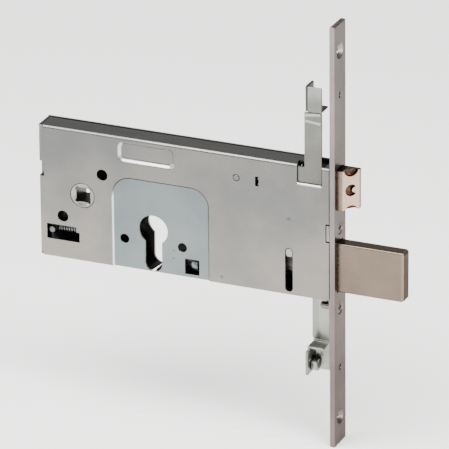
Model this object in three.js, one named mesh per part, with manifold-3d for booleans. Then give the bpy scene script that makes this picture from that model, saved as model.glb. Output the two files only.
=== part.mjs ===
// Mortise lock for a euro-profile cylinder and an 8 mm spindle, with a deadbolt, a sprung latch
// and two slides that drive rods to the top and the bottom of the door.
// Millimetres. Origin at the centre of the forend's outer face, +X out of the forend in the
// direction of throw, +Z up the door, -Y towards the side of the case that carries the cover.
// The deadbolt is thrown, the rods are extended and the latch is out.

import * as THREE from 'three';
import { mergeVertices } from 'three/addons/utils/BufferGeometryUtils.js';
import Module from 'manifold-3d';

const wasm = await Module();
wasm.setup();

// ---------------------------------------------------------------- driving dimensions

// clearances
const GAP = 0.3;                // between pieces that lie on each other
const SLIP = 0.4;               // round a piece that slides in a guide

// sheets and layers, front to back
const COVER_SHEET = 1.2;
const SLIDE_SHEET = 1.2;
const BOLT_THICKNESS = 8;
const BOLT_SIDE_PLAY = 0.7;     // spare depth beside the bolt
const BACK_SHEET = 1.5;
const TAIL_SHEET = 3;           // bolt tail, draw bar and large gear

// forend
const FOREND_LENGTH = 245;
const FOREND_THICKNESS = 3;
const FOREND_OVERHANG = 0.5;    // past the case on each side
const WOOD_SCREW_MARGIN = 15.5; // forend's end to the wood screw
const WOOD_SCREW_RADIUS = 2.6;
const WOOD_SCREW_HEAD_RADIUS = 4.6;
const FOREND_HOLE_RADIUS = 1.7; // plain pin holes
const FIXING_SCREW_RADIUS = 2;
const FIXING_SCREW_HEAD_RADIUS = 3.7;
const UPPER_FIXING_Z = 4.9;
const LOWER_FIXING_Z = -42.1;
const UPPER_PIN_MARGIN = 40.7;  // forend's top end to the upper pin hole
const LOWER_PIN_MARGIN = 45.1;  // forend's bottom end to the lower pin hole

// case
const SPINDLE_TO_REAR = 26.0;    // spindle to the rear wall
const CASE_TOP = 41;
const CASE_BOTTOM = -36;
const END_PLATE_THICKNESS = 2;
const END_PLATE_NECK = 7;       // width of the end plate where it leaves the case
const END_PLATE_EAR = 48;       // how far the end plate reaches below the axis
const STUD_RADIUS = 1.8;
const END_TAB_Z = -1.2;         // foot of the end plate's tab in the cover's edge
const END_TAB_HEIGHT = 9;
const REAR_NOTCH_Z = 10.9;

// euro cylinder, measured from the forend's outer face
const BACKSET = 107.5;
const CYLINDER_Z = -11.5;
const CYLINDER_RADIUS = 8.5;
const CYLINDER_SLOT = 10;
const CYLINDER_SLOT_DROP = 24.5; // centre of the plug to the bottom of the slot
const CYLINDER_SCREW_DROP = 18.5;
const CYLINDER_SCREW_RADIUS = 2.5;
const CYLINDER_SCREW_LENGTH = 16; // under the head
const ESCUTCHEON_SPACING = 34.4;
const ESCUTCHEON_DROP = 7.6;
const ESCUTCHEON_HOLE_RADIUS = 2.65;

// spindle hub
const SPINDLE_FROM_CYLINDER = 41.8;
const SPINDLE_RISE = 14.2;
const SPINDLE_SQUARE = 8.3;
const HUB_WALL = 1.08;          // metal left outside the square's corners
const HUB_SHOULDER = 1.55;      // the disc's step past the bosses
const ROSE_HOLE_X = 12;
const ROSE_HOLE_Z = 14;
const ROSE_HOLE_RADIUS = 3.2;
const FOLLOWER_ARM = 22;        // spindle to the pin in the draw bar
const FOLLOWER_PIN_RADIUS = 1.8;
const SPRING_ARM = 23.7;        // spindle to the return spring's hook

// deadbolt and its tail
const BOLT_THROW = 38;
const BOLT_REST = 0.6;          // what the drawn bolt still stands out
const BOLT_TOP = -3;
const BOLT_HEIGHT = 28.6;
const BOLT_CHAMFER = 0.9;
const BOLT_HEAD_INSIDE = 22;    // length of the head behind the forend's outer face
const TAIL_BAND_TOP = 12.5;
const CAM_TOOTH = 2.5;          // width of a tooth that the cylinder's cam pushes
const CAM_POCKET_TOP = 4;
const STUMP_STEP = 2.5;         // depth of the steps that the tumbler drops into
const BOLT_RIVET_DROPS = [6, 17]; // from the bolt's top
const BOLT_RIVET_RADIUS = 2;
const TAIL_IN_HEAD = 14;        // how far the tail reaches into the head
const TAIL_FOOT = -24;          // bottom of the tail inside the head

// rod gear: one tooth size throughout, 25 degree flanks
const MODULE = 1;
const BOLT_GEAR_TEETH = 19;
const ROD_GEAR_TEETH = 10;
const PRESSURE_ANGLE = THREE.MathUtils.degToRad(25);
const ADDENDUM = 0.8;
const DEDENDUM = 1.2;
const BACKLASH = 0.3;
const PINION_X = -50;
const AXLE_RADIUS = 1.5;

// rod slides
const ROD_BAR_LEFT = -18.3;
const ROD_BAR_RIGHT = -8.3;
const BAR_NOTCH_DEPTH = 11.3;   // the cover's notch in front of the upper bar
const BAR_NOTCH_SIDE = 4.2;     // the notch's extra width on the bar's left
const UPPER_BAR_TOP = 71.2;
const LOWER_BAR_BOTTOM = -65;
const GUIDE_LUG_X = -27;
const GUIDE_LUG_TOP = -9.2;
const GUIDE_LUG_BOTTOM = -13.9;
const GUIDE_LUG_WIDTH = 3.8;
const SLIDE_STUD_Z = 9.5;
const SLIDE_STUD_X = -26.6;

// latch
const LATCH_PROJECTION = 10.3;
const LATCH_TRAVEL = 12;
const LATCH_BOTTOM = 16.5;
const LATCH_HEIGHT = 22.8;
const LATCH_FLAT = 3.2;         // straight side before the bevel
const LATCH_NOSE = 2.5;         // flat tip
const LATCH_HEAD_INSIDE = 18;
const LATCH_SHANK_RADIUS = 2.6;
const LATCH_SHANK_DROP = 3.9;   // latch's top to the shank's axis
const LUG_X = -43.2;
const LUG_THICKNESS = 3;
const DRAW_BAR_BOTTOM = 22.5;
const DRAW_BAR_TOP = 31.2;
const GUIDE_RIVET_X = -57.6;
const GUIDE_RIVET_Z = 27.7;
const GUIDE_RIVET_RADIUS = 1.7;

// tumbler
const TUMBLER_REACH = 26.5;     // pivot to stump
const TUMBLER_PIVOT_Z = 22;
const TUMBLER_PIVOT_RADIUS = 2;
const STUMP_FROM_CYLINDER = 8;
const STUMP_RADIUS = 1.6;

// pressings in the cover
const PANEL_REAR_SIDE = 24;     // cylinder to the panel's edge towards the rear wall
const PANEL_FOREND_SIDE = 33.5; // cylinder to the panel's edge towards the forend
const PANEL_TOP = 17.5;
const PANEL_CORNER = 11;
const PANEL_DEPTH = 1;
const LABEL_REAR_SIDE = 19.3;   // cylinder to the label recess's rear end
const LABEL_LENGTH = 32;
const LABEL_BOTTOM = 27.5;
const LABEL_TOP = 37.5;
const LABEL_CORNER = 3;
const LABEL_DEPTH = 0.8;

// ---------------------------------------------------------------- worked-out places

const CASE_DEPTH = COVER_SHEET + BACK_SHEET + 2 * SLIDE_SHEET + 4 * GAP + BOLT_THICKNESS + BOLT_SIDE_PLAY;
const FOREND_WIDTH = CASE_DEPTH + 2 * FOREND_OVERHANG;

const Y_COVER = -CASE_DEPTH / 2;
const Y_COVER_IN = Y_COVER + COVER_SHEET;
const Y_FRONT_SLIDE = Y_COVER_IN + GAP;
const Y_BOLT_LAYER = Y_FRONT_SLIDE + SLIDE_SHEET + GAP;
const Y_BACK = CASE_DEPTH / 2;
const Y_BACK_IN = Y_BACK - BACK_SHEET;
const Y_BACK_SLIDE = Y_BACK_IN - GAP - SLIDE_SHEET;
const Y_BOLT_LAYER_END = Y_BACK_SLIDE - GAP;
const Y_MID = (Y_BOLT_LAYER + Y_BOLT_LAYER_END) / 2;
const Y_TAIL = Y_MID - TAIL_SHEET / 2;
const Y_TAIL_END = Y_MID + TAIL_SHEET / 2;
const Y_PANEL_IN = Y_COVER_IN + PANEL_DEPTH;

const X_FOREND_BACK = -FOREND_THICKNESS;
const X_CASE_END = X_FOREND_BACK - GAP;
const CASE_WALL_TOP = CASE_TOP - COVER_SHEET;
const CASE_FLOOR = CASE_BOTTOM + COVER_SHEET;

const CYLINDER_X = -BACKSET;
const CYLINDER_SCREW_Z = CYLINDER_Z - CYLINDER_SCREW_DROP;
const SCREW_TIP_X = CYLINDER_X + CYLINDER_SLOT / 2 + 0.5;
const SCREW_HEAD_X = SCREW_TIP_X + CYLINDER_SCREW_LENGTH;
const BRACKET_X = SCREW_TIP_X + 5;
const SPINDLE_X = CYLINDER_X - SPINDLE_FROM_CYLINDER;
const SPINDLE_Z = CYLINDER_Z + SPINDLE_RISE;
const X_CASE_REAR = SPINDLE_X - SPINDLE_TO_REAR;
const HUB_RADIUS = SPINDLE_SQUARE * Math.SQRT1_2 + HUB_WALL;
const HUB_DISC_RADIUS = HUB_RADIUS + HUB_SHOULDER;
const STUMP_X = CYLINDER_X + STUMP_FROM_CYLINDER;
const TUMBLER_PIVOT_X = STUMP_X + TUMBLER_REACH;
const PANEL_LEFT = CYLINDER_X - PANEL_REAR_SIDE;
const PANEL_RIGHT = CYLINDER_X + PANEL_FOREND_SIDE;
const LABEL_LEFT = CYLINDER_X - LABEL_REAR_SIDE;
const LABEL_RIGHT = LABEL_LEFT + LABEL_LENGTH;

const BOLT_PROJECTION = BOLT_THROW + BOLT_REST;
const BOLT_BOTTOM = BOLT_TOP - BOLT_HEIGHT;
const BOLT_GEAR_RADIUS = MODULE * BOLT_GEAR_TEETH / 2;
const ROD_GEAR_RADIUS = MODULE * ROD_GEAR_TEETH / 2;
const ROD_TRAVEL = BOLT_THROW * ROD_GEAR_RADIUS / BOLT_GEAR_RADIUS;
const BOLT_RACK_Z = BOLT_TOP + 3;
const PINION_Z = BOLT_RACK_Z + BOLT_GEAR_RADIUS;
const TOOTH_PITCH = Math.PI * MODULE;

const LATCH_TOP = LATCH_BOTTOM + LATCH_HEIGHT;
const Y_LATCH = Y_BOLT_LAYER;
const Y_LATCH_END = Y_BACK_IN - 3 * GAP;
const LATCH_SHANK_Z = LATCH_TOP - LATCH_SHANK_DROP;
const Y_SHANK = (Y_LATCH + Y_LATCH_END) / 2;
const FOLLOWER_SWING = Math.asin(LATCH_TRAVEL / 2 / FOLLOWER_ARM);
const FOLLOWER_PIN_X = SPINDLE_X + FOLLOWER_ARM * Math.sin(FOLLOWER_SWING);
const FOLLOWER_PIN_Z = SPINDLE_Z + FOLLOWER_ARM * Math.cos(FOLLOWER_SWING);

// ---------------------------------------------------------------- finishes

const finish = (color, roughness, metalness) => new THREE.MeshStandardMaterial({ color, roughness,
  metalness });

const ZINC = finish(0xb9bab4, 0.42, 0.9);
const DARK_ZINC = finish(0x8f9290, 0.5, 0.9);
const NICKEL = finish(0x9c9089, 0.38, 0.95);
const ROSE_NICKEL = finish(0xd9c6b6, 0.3, 0.95);
const STEEL = finish(0x8a8c8d, 0.45, 0.95);
const SPRING_STEEL = finish(0x5d5f63, 0.35, 0.95);

// ---------------------------------------------------------------- solids

function toSolid(geometry) {
  geometry.deleteAttribute('normal');
  geometry.deleteAttribute('uv');
  const merged = mergeVertices(geometry, 1e-5);
  const vertProperties = new Float32Array(merged.attributes.position.array);
  const triVerts = new Uint32Array(merged.index.array);
  return new wasm.Manifold(new wasm.Mesh({ numProp: 3, vertProperties, triVerts }));
}

function toGeometry(solid) {
  const mesh = solid.getMesh();
  const geometry = new THREE.BufferGeometry();
  geometry.setAttribute('position', new THREE.BufferAttribute(new Float32Array(mesh.vertProperties), 3));
  geometry.setIndex(new THREE.BufferAttribute(new Uint32Array(mesh.triVerts), 1));
  geometry.computeVertexNormals();
  return geometry;
}

const join = (first, ...rest) => rest.reduce((sum, piece) => sum.add(piece), first);
const cut = (first, ...rest) => rest.reduce((left, piece) => left.subtract(piece), first);

// A block between two corners.
function block(x0, x1, y0, y1, z0, z1) {
  const geometry = new THREE.BoxGeometry(x1 - x0, y1 - y0, z1 - z0);
  geometry.translate((x0 + x1) / 2, (y0 + y1) / 2, (z0 + z1) / 2);
  return toSolid(geometry);
}

// A sheet cut to an outline in X and Z, from y0 back to y1.
function sheet(shape, y0, y1, curveSegments = 8) {
  const geometry = new THREE.ExtrudeGeometry(shape, { depth: y1 - y0, bevelEnabled: false, curveSegments });
  geometry.rotateX(Math.PI / 2);
  geometry.translate(0, y1, 0);
  return toSolid(geometry);
}

const outline = (points) => new THREE.Shape(points.map(([x, z]) => new THREE.Vector2(x, z)));

// A round bar along Y, X or Z through (a, b), from one end to the other.
function barY(x, z, radius, y0, y1, sides = 24) {
  const geometry = new THREE.CylinderGeometry(radius, radius, y1 - y0, sides);
  geometry.translate(x, (y0 + y1) / 2, z);
  return toSolid(geometry);
}

function barX(y, z, radius, x0, x1, sides = 24, endRadius = radius) {
  const geometry = new THREE.CylinderGeometry(radius, endRadius, x1 - x0, sides);
  geometry.rotateZ(Math.PI / 2);
  geometry.translate((x0 + x1) / 2, y, z);
  return toSolid(geometry);
}

// A slot with round ends, standing (along Z) or lying (along X), cut or raised along Y.
function standingSlot(x, z0, z1, width, y0, y1) {
  const r = width / 2;
  return join(block(x - r, x + r, y0, y1, z0 + r, z1 - r), barY(x, z0 + r, r, y0, y1), barY(x, z1 - r, r,
    y0, y1));
}

function lyingSlot(x0, x1, z, width, y0, y1) {
  const r = width / 2;
  return join(block(x0 + r, x1 - r, y0, y1, z - r, z + r), barY(x0 + r, z, r, y0, y1), barY(x1 - r, z, r,
    y0, y1));
}

// A rectangle in X and Z with rounded top corners, and rounded bottom ones too where asked.
function roundedOutline(x0, x1, z0, z1, top, bottom = 0) {
  const shape = new THREE.Shape();
  shape.moveTo(x0 + bottom, z0);
  shape.lineTo(x1 - bottom, z0);
  if (bottom > 0) shape.absarc(x1 - bottom, z0 + bottom, bottom, -Math.PI / 2, 0);
  shape.lineTo(x1, z1 - top);
  shape.absarc(x1 - top, z1 - top, top, 0, Math.PI / 2);
  shape.lineTo(x0 + top, z1);
  shape.absarc(x0 + top, z1 - top, top, Math.PI / 2, Math.PI);
  shape.lineTo(x0, z0 + bottom);
  if (bottom > 0) shape.absarc(x0 + bottom, z0 + bottom, bottom, Math.PI, 1.5 * Math.PI);
  return shape;
}

// The euro-profile hole, grown by a margin, through everything between y0 and y1.
function cylinderHole(y0, y1, margin = 0) {
  const half = CYLINDER_SLOT / 2 + margin;
  const foot = CYLINDER_Z - CYLINDER_SLOT_DROP + CYLINDER_SLOT / 2;
  return join(
    barY(CYLINDER_X, CYLINDER_Z, CYLINDER_RADIUS + margin, y0, y1, 36),
    block(CYLINDER_X - half, CYLINDER_X + half, y0, y1, foot, CYLINDER_Z),
    barY(CYLINDER_X, foot, half, y0, y1),
  );
}

// The holes that go right through the case for the spindle, its rose and the escutcheon.
function throughHoles(y0, y1) {
  const escutcheonZ = CYLINDER_Z - ESCUTCHEON_DROP;
  return join(
    barY(SPINDLE_X, SPINDLE_Z, HUB_RADIUS + GAP, y0, y1, 36),
    barY(SPINDLE_X + ROSE_HOLE_X, SPINDLE_Z + ROSE_HOLE_Z, ROSE_HOLE_RADIUS, y0, y1),
    barY(SPINDLE_X - ROSE_HOLE_X, SPINDLE_Z - ROSE_HOLE_Z, ROSE_HOLE_RADIUS, y0, y1),
    barY(CYLINDER_X + ESCUTCHEON_SPACING / 2, escutcheonZ, ESCUTCHEON_HOLE_RADIUS, y0, y1),
    barY(CYLINDER_X - ESCUTCHEON_SPACING / 2, escutcheonZ, ESCUTCHEON_HOLE_RADIUS, y0, y1),
  );
}

// ---------------------------------------------------------------- case

const THROUGH = 2;              // how far a cutter runs past the face it opens

function frontCover() {
  const face = block(X_CASE_REAR, X_CASE_END, Y_COVER, Y_COVER_IN, CASE_BOTTOM, CASE_TOP);
  const topWall = block(X_CASE_REAR, X_CASE_END, Y_COVER, Y_BACK_IN - GAP, CASE_WALL_TOP, CASE_TOP);
  const rearWall = block(X_CASE_REAR, X_CASE_REAR + COVER_SHEET, Y_COVER, Y_BACK_IN - GAP,
    CASE_FLOOR + GAP, CASE_TOP);
  const panelBack = sheet(
    roundedOutline(PANEL_LEFT - COVER_SHEET, PANEL_RIGHT + COVER_SHEET, CASE_FLOOR + GAP,
      PANEL_TOP + COVER_SHEET,
      PANEL_CORNER + COVER_SHEET),
    Y_COVER_IN - GAP, Y_PANEL_IN);
  const labelBack = sheet(
    roundedOutline(LABEL_LEFT - COVER_SHEET, LABEL_RIGHT + COVER_SHEET, LABEL_BOTTOM - COVER_SHEET,
      LABEL_TOP + COVER_SHEET, LABEL_CORNER + COVER_SHEET, LABEL_CORNER + COVER_SHEET),
    Y_COVER_IN - GAP, Y_COVER_IN + LABEL_DEPTH);
  const panelRecess = sheet(
    roundedOutline(PANEL_LEFT, PANEL_RIGHT, CASE_BOTTOM - THROUGH, PANEL_TOP, PANEL_CORNER),
    Y_COVER - THROUGH, Y_COVER + PANEL_DEPTH);
  const labelRecess = sheet(
    roundedOutline(LABEL_LEFT, LABEL_RIGHT, LABEL_BOTTOM, LABEL_TOP, LABEL_CORNER, LABEL_CORNER),
    Y_COVER - THROUGH, Y_COVER + LABEL_DEPTH);
  const y0 = Y_COVER - THROUGH;
  const y1 = Y_PANEL_IN + THROUGH;
  const springZ = SPINDLE_Z - SPRING_ARM;
  const windowLeft = SPINDLE_X - 21.7;
  const windowFoot = springZ - 4.7;
  const springWindow = join(
    block(windowLeft, windowLeft + 17.5, y0, Y_COVER_IN + GAP, windowFoot, windowFoot + 8.8),
    block(windowLeft, windowLeft + 19.5, y0, Y_COVER_IN + GAP, windowFoot, windowFoot + 5.8),
  );
  const screwWindow = block(SCREW_HEAD_X - 2.8, SCREW_HEAD_X + 5.6, y0, y1, CYLINDER_SCREW_Z - 4.3,
    CYLINDER_SCREW_Z + 4.7);
  const barNotch = block(ROD_BAR_LEFT - BAR_NOTCH_SIDE, ROD_BAR_RIGHT + SLIP, y0,
    Y_FRONT_SLIDE + SLIDE_SHEET + SLIP,
    CASE_TOP - BAR_NOTCH_DEPTH, CASE_TOP + THROUGH);
  const topGap = block(ROD_BAR_LEFT + 4.3, ROD_BAR_RIGHT + 1.8, y0 + THROUGH, Y_BACK, CASE_WALL_TOP - THROUGH,
    CASE_TOP + THROUGH);
  const faceKeep = block(ROD_BAR_RIGHT + SLIP, ROD_BAR_RIGHT + 2.3, Y_COVER, Y_COVER_IN,
    CASE_WALL_TOP - THROUGH,
    CASE_TOP);
  const lugSlot = standingSlot(GUIDE_LUG_X, GUIDE_LUG_BOTTOM - ROD_TRAVEL - SLIP, GUIDE_LUG_TOP + SLIP,
    GUIDE_LUG_WIDTH + 2 * GAP, y0, Y_COVER_IN + GAP);
  const lugSlit = block(LUG_X - 3.3, LUG_X - 1.3, y0, Y_COVER_IN + GAP, DRAW_BAR_BOTTOM + 2,
    DRAW_BAR_BOTTOM + 7.6);
  const rivetHole = barY(GUIDE_RIVET_X, GUIDE_RIVET_Z, GUIDE_RIVET_RADIUS + GAP, y0, Y_COVER_IN + GAP);
  const rearNotch = block(X_CASE_REAR - THROUGH, X_CASE_REAR + 1.8, y0, Y_COVER_IN - GAP, REAR_NOTCH_Z,
    REAR_NOTCH_Z + 8.8);
  const tabNotch = block(X_CASE_END - END_PLATE_THICKNESS - 0.2, X_CASE_END + THROUGH, y0, Y_COVER_IN + GAP,
    END_TAB_Z - 0.9, END_TAB_Z + END_TAB_HEIGHT + 0.9);
  const shell = join(face, topWall, rearWall, panelBack, labelBack);
  return cut(shell, panelRecess, labelRecess, cylinderHole(y0, y1), throughHoles(y0, y1), springWindow,
    screwWindow,
    barNotch, cut(topGap, faceKeep), lugSlot, lugSlit, rivetHole, rearNotch, tabNotch);
}

function caseBack() {
  const plate = block(X_CASE_REAR, X_CASE_END, Y_BACK_IN, Y_BACK, CASE_BOTTOM, CASE_TOP);
  const floor = block(X_CASE_REAR, X_CASE_END, Y_COVER_IN + GAP, Y_BACK, CASE_BOTTOM, CASE_FLOOR);
  const rodGap = block(ROD_BAR_LEFT - SLIP, ROD_BAR_RIGHT + SLIP, Y_BACK_SLIDE - SLIP, Y_BACK_IN,
    CASE_BOTTOM - THROUGH, CASE_FLOOR + THROUGH);
  const panelGap = block(PANEL_LEFT - COVER_SHEET - GAP, PANEL_RIGHT + COVER_SHEET + GAP, Y_COVER,
    Y_PANEL_IN + GAP, CASE_BOTTOM - THROUGH, CASE_FLOOR + THROUGH);
  const neckGap = block(X_CASE_END - END_PLATE_THICKNESS - GAP, X_CASE_END + THROUGH,
    -END_PLATE_NECK / 2 - GAP,
    END_PLATE_NECK / 2 + GAP, CASE_BOTTOM - THROUGH, CASE_FLOOR + THROUGH);
  const y0 = Y_COVER;
  const y1 = Y_BACK + THROUGH;
  return cut(join(plate, floor), rodGap, panelGap, neckGap, cylinderHole(y0, y1), throughHoles(y0, y1));
}

// The plate that the forend is screwed to. Its tab shows in a notch of the cover's edge.
function endPlate() {
  const x0 = X_CASE_END - END_PLATE_THICKNESS;
  const top = CASE_WALL_TOP - GAP;
  const inside = block(x0, X_CASE_END, Y_COVER_IN + GAP, Y_BACK_IN - GAP, CASE_FLOOR + GAP, top);
  const neck = block(x0, X_CASE_END, -END_PLATE_NECK / 2, END_PLATE_NECK / 2, -END_PLATE_EAR, CASE_FLOOR + 1);
  const tab = block(x0 + GAP, X_CASE_END, Y_COVER + 0.1, Y_COVER_IN + 1, END_TAB_Z,
    END_TAB_Z + END_TAB_HEIGHT);
  return cut(join(inside, neck, tab), boltOpening(), latchOpening(),
    barX(Y_MID, UPPER_FIXING_Z, FIXING_SCREW_RADIUS + GAP, x0 - THROUGH, X_CASE_END + THROUGH),
    barX(Y_MID, LOWER_FIXING_Z, FIXING_SCREW_RADIUS + GAP, x0 - THROUGH, X_CASE_END + THROUGH));
}

function boltOpening() {
  return block(-12, THROUGH, Y_MID - BOLT_THICKNESS / 2 - SLIP, Y_MID + BOLT_THICKNESS / 2 + SLIP,
    BOLT_BOTTOM - SLIP, BOLT_TOP + SLIP);
}

function latchOpening() {
  return block(-12, THROUGH, Y_LATCH - SLIP, Y_LATCH_END + SLIP, LATCH_BOTTOM - SLIP, LATCH_TOP + SLIP);
}

// A countersunk hole from the forend's outer face.
function countersunkHole(y, z, radius, headRadius) {
  const depth = headRadius - radius;
  const cone = barX(y, z, radius, -depth, 0.01, 32, headRadius);
  return join(cone, barX(y, z, radius, X_FOREND_BACK - THROUGH, THROUGH), barX(y, z, headRadius, 0,
    THROUGH, 32));
}

function forend() {
  const half = FOREND_LENGTH / 2;
  const strip = block(X_FOREND_BACK, 0, -FOREND_WIDTH / 2, FOREND_WIDTH / 2, -half, half);
  const woodScrews = [1, -1].map((side) => countersunkHole(0, side * (half - WOOD_SCREW_MARGIN),
    WOOD_SCREW_RADIUS, WOOD_SCREW_HEAD_RADIUS));
  const fixings = [UPPER_FIXING_Z, LOWER_FIXING_Z].map((z) => countersunkHole(Y_MID, z,
    FIXING_SCREW_RADIUS + GAP, FIXING_SCREW_HEAD_RADIUS + GAP));
  const pinHoles = [half - UPPER_PIN_MARGIN, LOWER_PIN_MARGIN - half].map((z) => barX(0, z, FOREND_HOLE_RADIUS,
    X_FOREND_BACK - THROUGH, THROUGH));
  return cut(strip, boltOpening(), latchOpening(), ...woodScrews, ...fixings, ...pinHoles);
}

// A countersunk machine screw with a cross slot, its head flush with the forend.
function forendScrew(z) {
  const depth = FIXING_SCREW_HEAD_RADIUS - FIXING_SCREW_RADIUS;
  const head = barX(Y_MID, z, FIXING_SCREW_RADIUS, -depth - 0.1, -0.1, 32, FIXING_SCREW_HEAD_RADIUS);
  const shank = barX(Y_MID, z, FIXING_SCREW_RADIUS, -11, -depth);
  const slotWide = block(-0.9, THROUGH, Y_MID - 2.2, Y_MID + 2.2, z - 0.45, z + 0.45);
  const slotTall = block(-0.9, THROUGH, Y_MID - 0.45, Y_MID + 0.45, z - 2.2, z + 2.2);
  return cut(join(head, shank), slotWide, slotTall);
}

// A stud between the two sheets of the case.
const caseStud = (x, z) => barY(x, z, STUD_RADIUS, Y_COVER_IN + GAP, Y_BACK_IN - GAP);

// ---------------------------------------------------------------- gears and racks

// Tooth half-thickness angle of an involute gear at a given radius.
function toothHalfAngle(teeth, radius) {
  const pitchRadius = MODULE * teeth / 2;
  const baseRadius = pitchRadius * Math.cos(PRESSURE_ANGLE);
  const involute = (angle) => Math.tan(angle) - angle;
  const angleAt = Math.acos(Math.min(1, baseRadius / radius));
  const pitchHalf = (TOOTH_PITCH / 2 - BACKLASH / 2) / 2 / pitchRadius;
  return pitchHalf + involute(PRESSURE_ANGLE) - involute(angleAt);
}

// A spur gear about a Y axis with a tooth gap pointing at the given angle.
function gear(teeth, y0, y1, gapAngle) {
  const pitchRadius = MODULE * teeth / 2;
  const baseRadius = pitchRadius * Math.cos(PRESSURE_ANGLE);
  const root = pitchRadius - DEDENDUM * MODULE;
  const tip = pitchRadius + ADDENDUM * MODULE;
  const start = Math.max(root, baseRadius);
  const flank = [0, 1, 2, 3].map((step) => start + (tip - start) * step / 3);
  const points = [];
  for (let tooth = 0; tooth < teeth; tooth += 1) {
    const centre = gapAngle + (tooth + 0.5) * 2 * Math.PI / teeth;
    const rising = flank.map((radius) => [radius, centre - toothHalfAngle(teeth, radius)]);
    const falling = flank.map((radius) => [radius, centre + toothHalfAngle(teeth, radius)]).reverse();
    const foot = toothHalfAngle(teeth, start);
    points.push([root, centre - foot], ...rising, ...falling, [root, centre + foot]);
  }
  const shape = outline(points.map(([radius, angle]) => [PINION_X + radius * Math.cos(angle),
    PINION_Z + radius * Math.sin(angle)]));
  return sheet(shape, y0, y1);
}

// The outline of rack teeth along a line, as [along, out] pairs, from one tooth to another.
function rackTeeth(first, last) {
  const slope = Math.tan(PRESSURE_ANGLE);
  const half = (TOOTH_PITCH / 2 - BACKLASH / 2) / 2;
  const points = [];
  for (let tooth = first; tooth <= last; tooth += 1) {
    const centre = tooth * TOOTH_PITCH;
    points.push([centre - half - DEDENDUM * slope, -DEDENDUM], [centre - half + ADDENDUM * slope, ADDENDUM],
      [centre + half - ADDENDUM * slope, ADDENDUM], [centre + half + DEDENDUM * slope, -DEDENDUM]);
  }
  return points;
}

// The stepped gear: the large one on the bolt's rack, a small one on each slide's rack.
function rodPinion() {
  const large = gear(BOLT_GEAR_TEETH, Y_TAIL, Y_TAIL_END, -Math.PI / 2);
  const front = gear(ROD_GEAR_TEETH, Y_FRONT_SLIDE, Y_FRONT_SLIDE + SLIDE_SHEET, 0);
  const back = gear(ROD_GEAR_TEETH, Y_BACK_SLIDE, Y_BACK_SLIDE + SLIDE_SHEET, 0);
  const hub = barY(PINION_X, PINION_Z, ROD_GEAR_RADIUS - DEDENDUM - GAP, Y_FRONT_SLIDE,
    Y_BACK_SLIDE + SLIDE_SHEET);
  const bore = barY(PINION_X, PINION_Z, AXLE_RADIUS + GAP, Y_COVER, Y_BACK);
  return cut(join(large, front, back, hub), bore);
}

// ---------------------------------------------------------------- deadbolt

// A block whose long edges and outer end are chamfered.
function chamferedBolt(x0, x1, y0, y1, z0, z1, c) {
  const along = outline([[x0, z0], [x1 - c, z0], [x1, z0 + c], [x1, z1 - c], [x1 - c, z1], [x0, z1]]);
  const side = sheet(along, y0, y1);
  const plan = outline([[x0, y0], [x1 - c, y0], [x1, y0 + c], [x1, y1 - c], [x1 - c, y1], [x0, y1]]);
  const planGeometry = new THREE.ExtrudeGeometry(plan, { depth: z1 - z0, bevelEnabled: false });
  planGeometry.translate(0, 0, z0);
  const section = outline([[y0 + c, z0], [y1 - c, z0], [y1, z0 + c], [y1, z1 - c], [y1 - c, z1], [y0 + c, z1],
    [y0, z1 - c], [y0, z0 + c]]);
  const sectionGeometry = new THREE.ExtrudeGeometry(section, { depth: x1 - x0, bevelEnabled: false });
  sectionGeometry.rotateX(Math.PI / 2);
  sectionGeometry.rotateZ(Math.PI / 2);
  sectionGeometry.translate(x0, 0, 0);
  return side.intersect(toSolid(planGeometry)).intersect(toSolid(sectionGeometry));
}

const RIVET_X = TAIL_IN_HEAD / 2 - BOLT_HEAD_INSIDE;

function deadboltHead() {
  const y0 = Y_MID - BOLT_THICKNESS / 2;
  const y1 = Y_MID + BOLT_THICKNESS / 2;
  const body = chamferedBolt(-BOLT_HEAD_INSIDE, BOLT_PROJECTION, y0, y1, BOLT_BOTTOM, BOLT_TOP, BOLT_CHAMFER);
  const slot = block(-BOLT_HEAD_INSIDE - THROUGH, TAIL_IN_HEAD - BOLT_HEAD_INSIDE + GAP, Y_TAIL - GAP,
    Y_TAIL_END + GAP, TAIL_FOOT - GAP, BOLT_TOP + THROUGH);
  const holes = BOLT_RIVET_DROPS.map((drop) => barY(RIVET_X, BOLT_TOP - drop, BOLT_RIVET_RADIUS + GAP,
    y0 - THROUGH, y1 + THROUGH));
  return cut(body, slot, ...holes);
}

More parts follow.
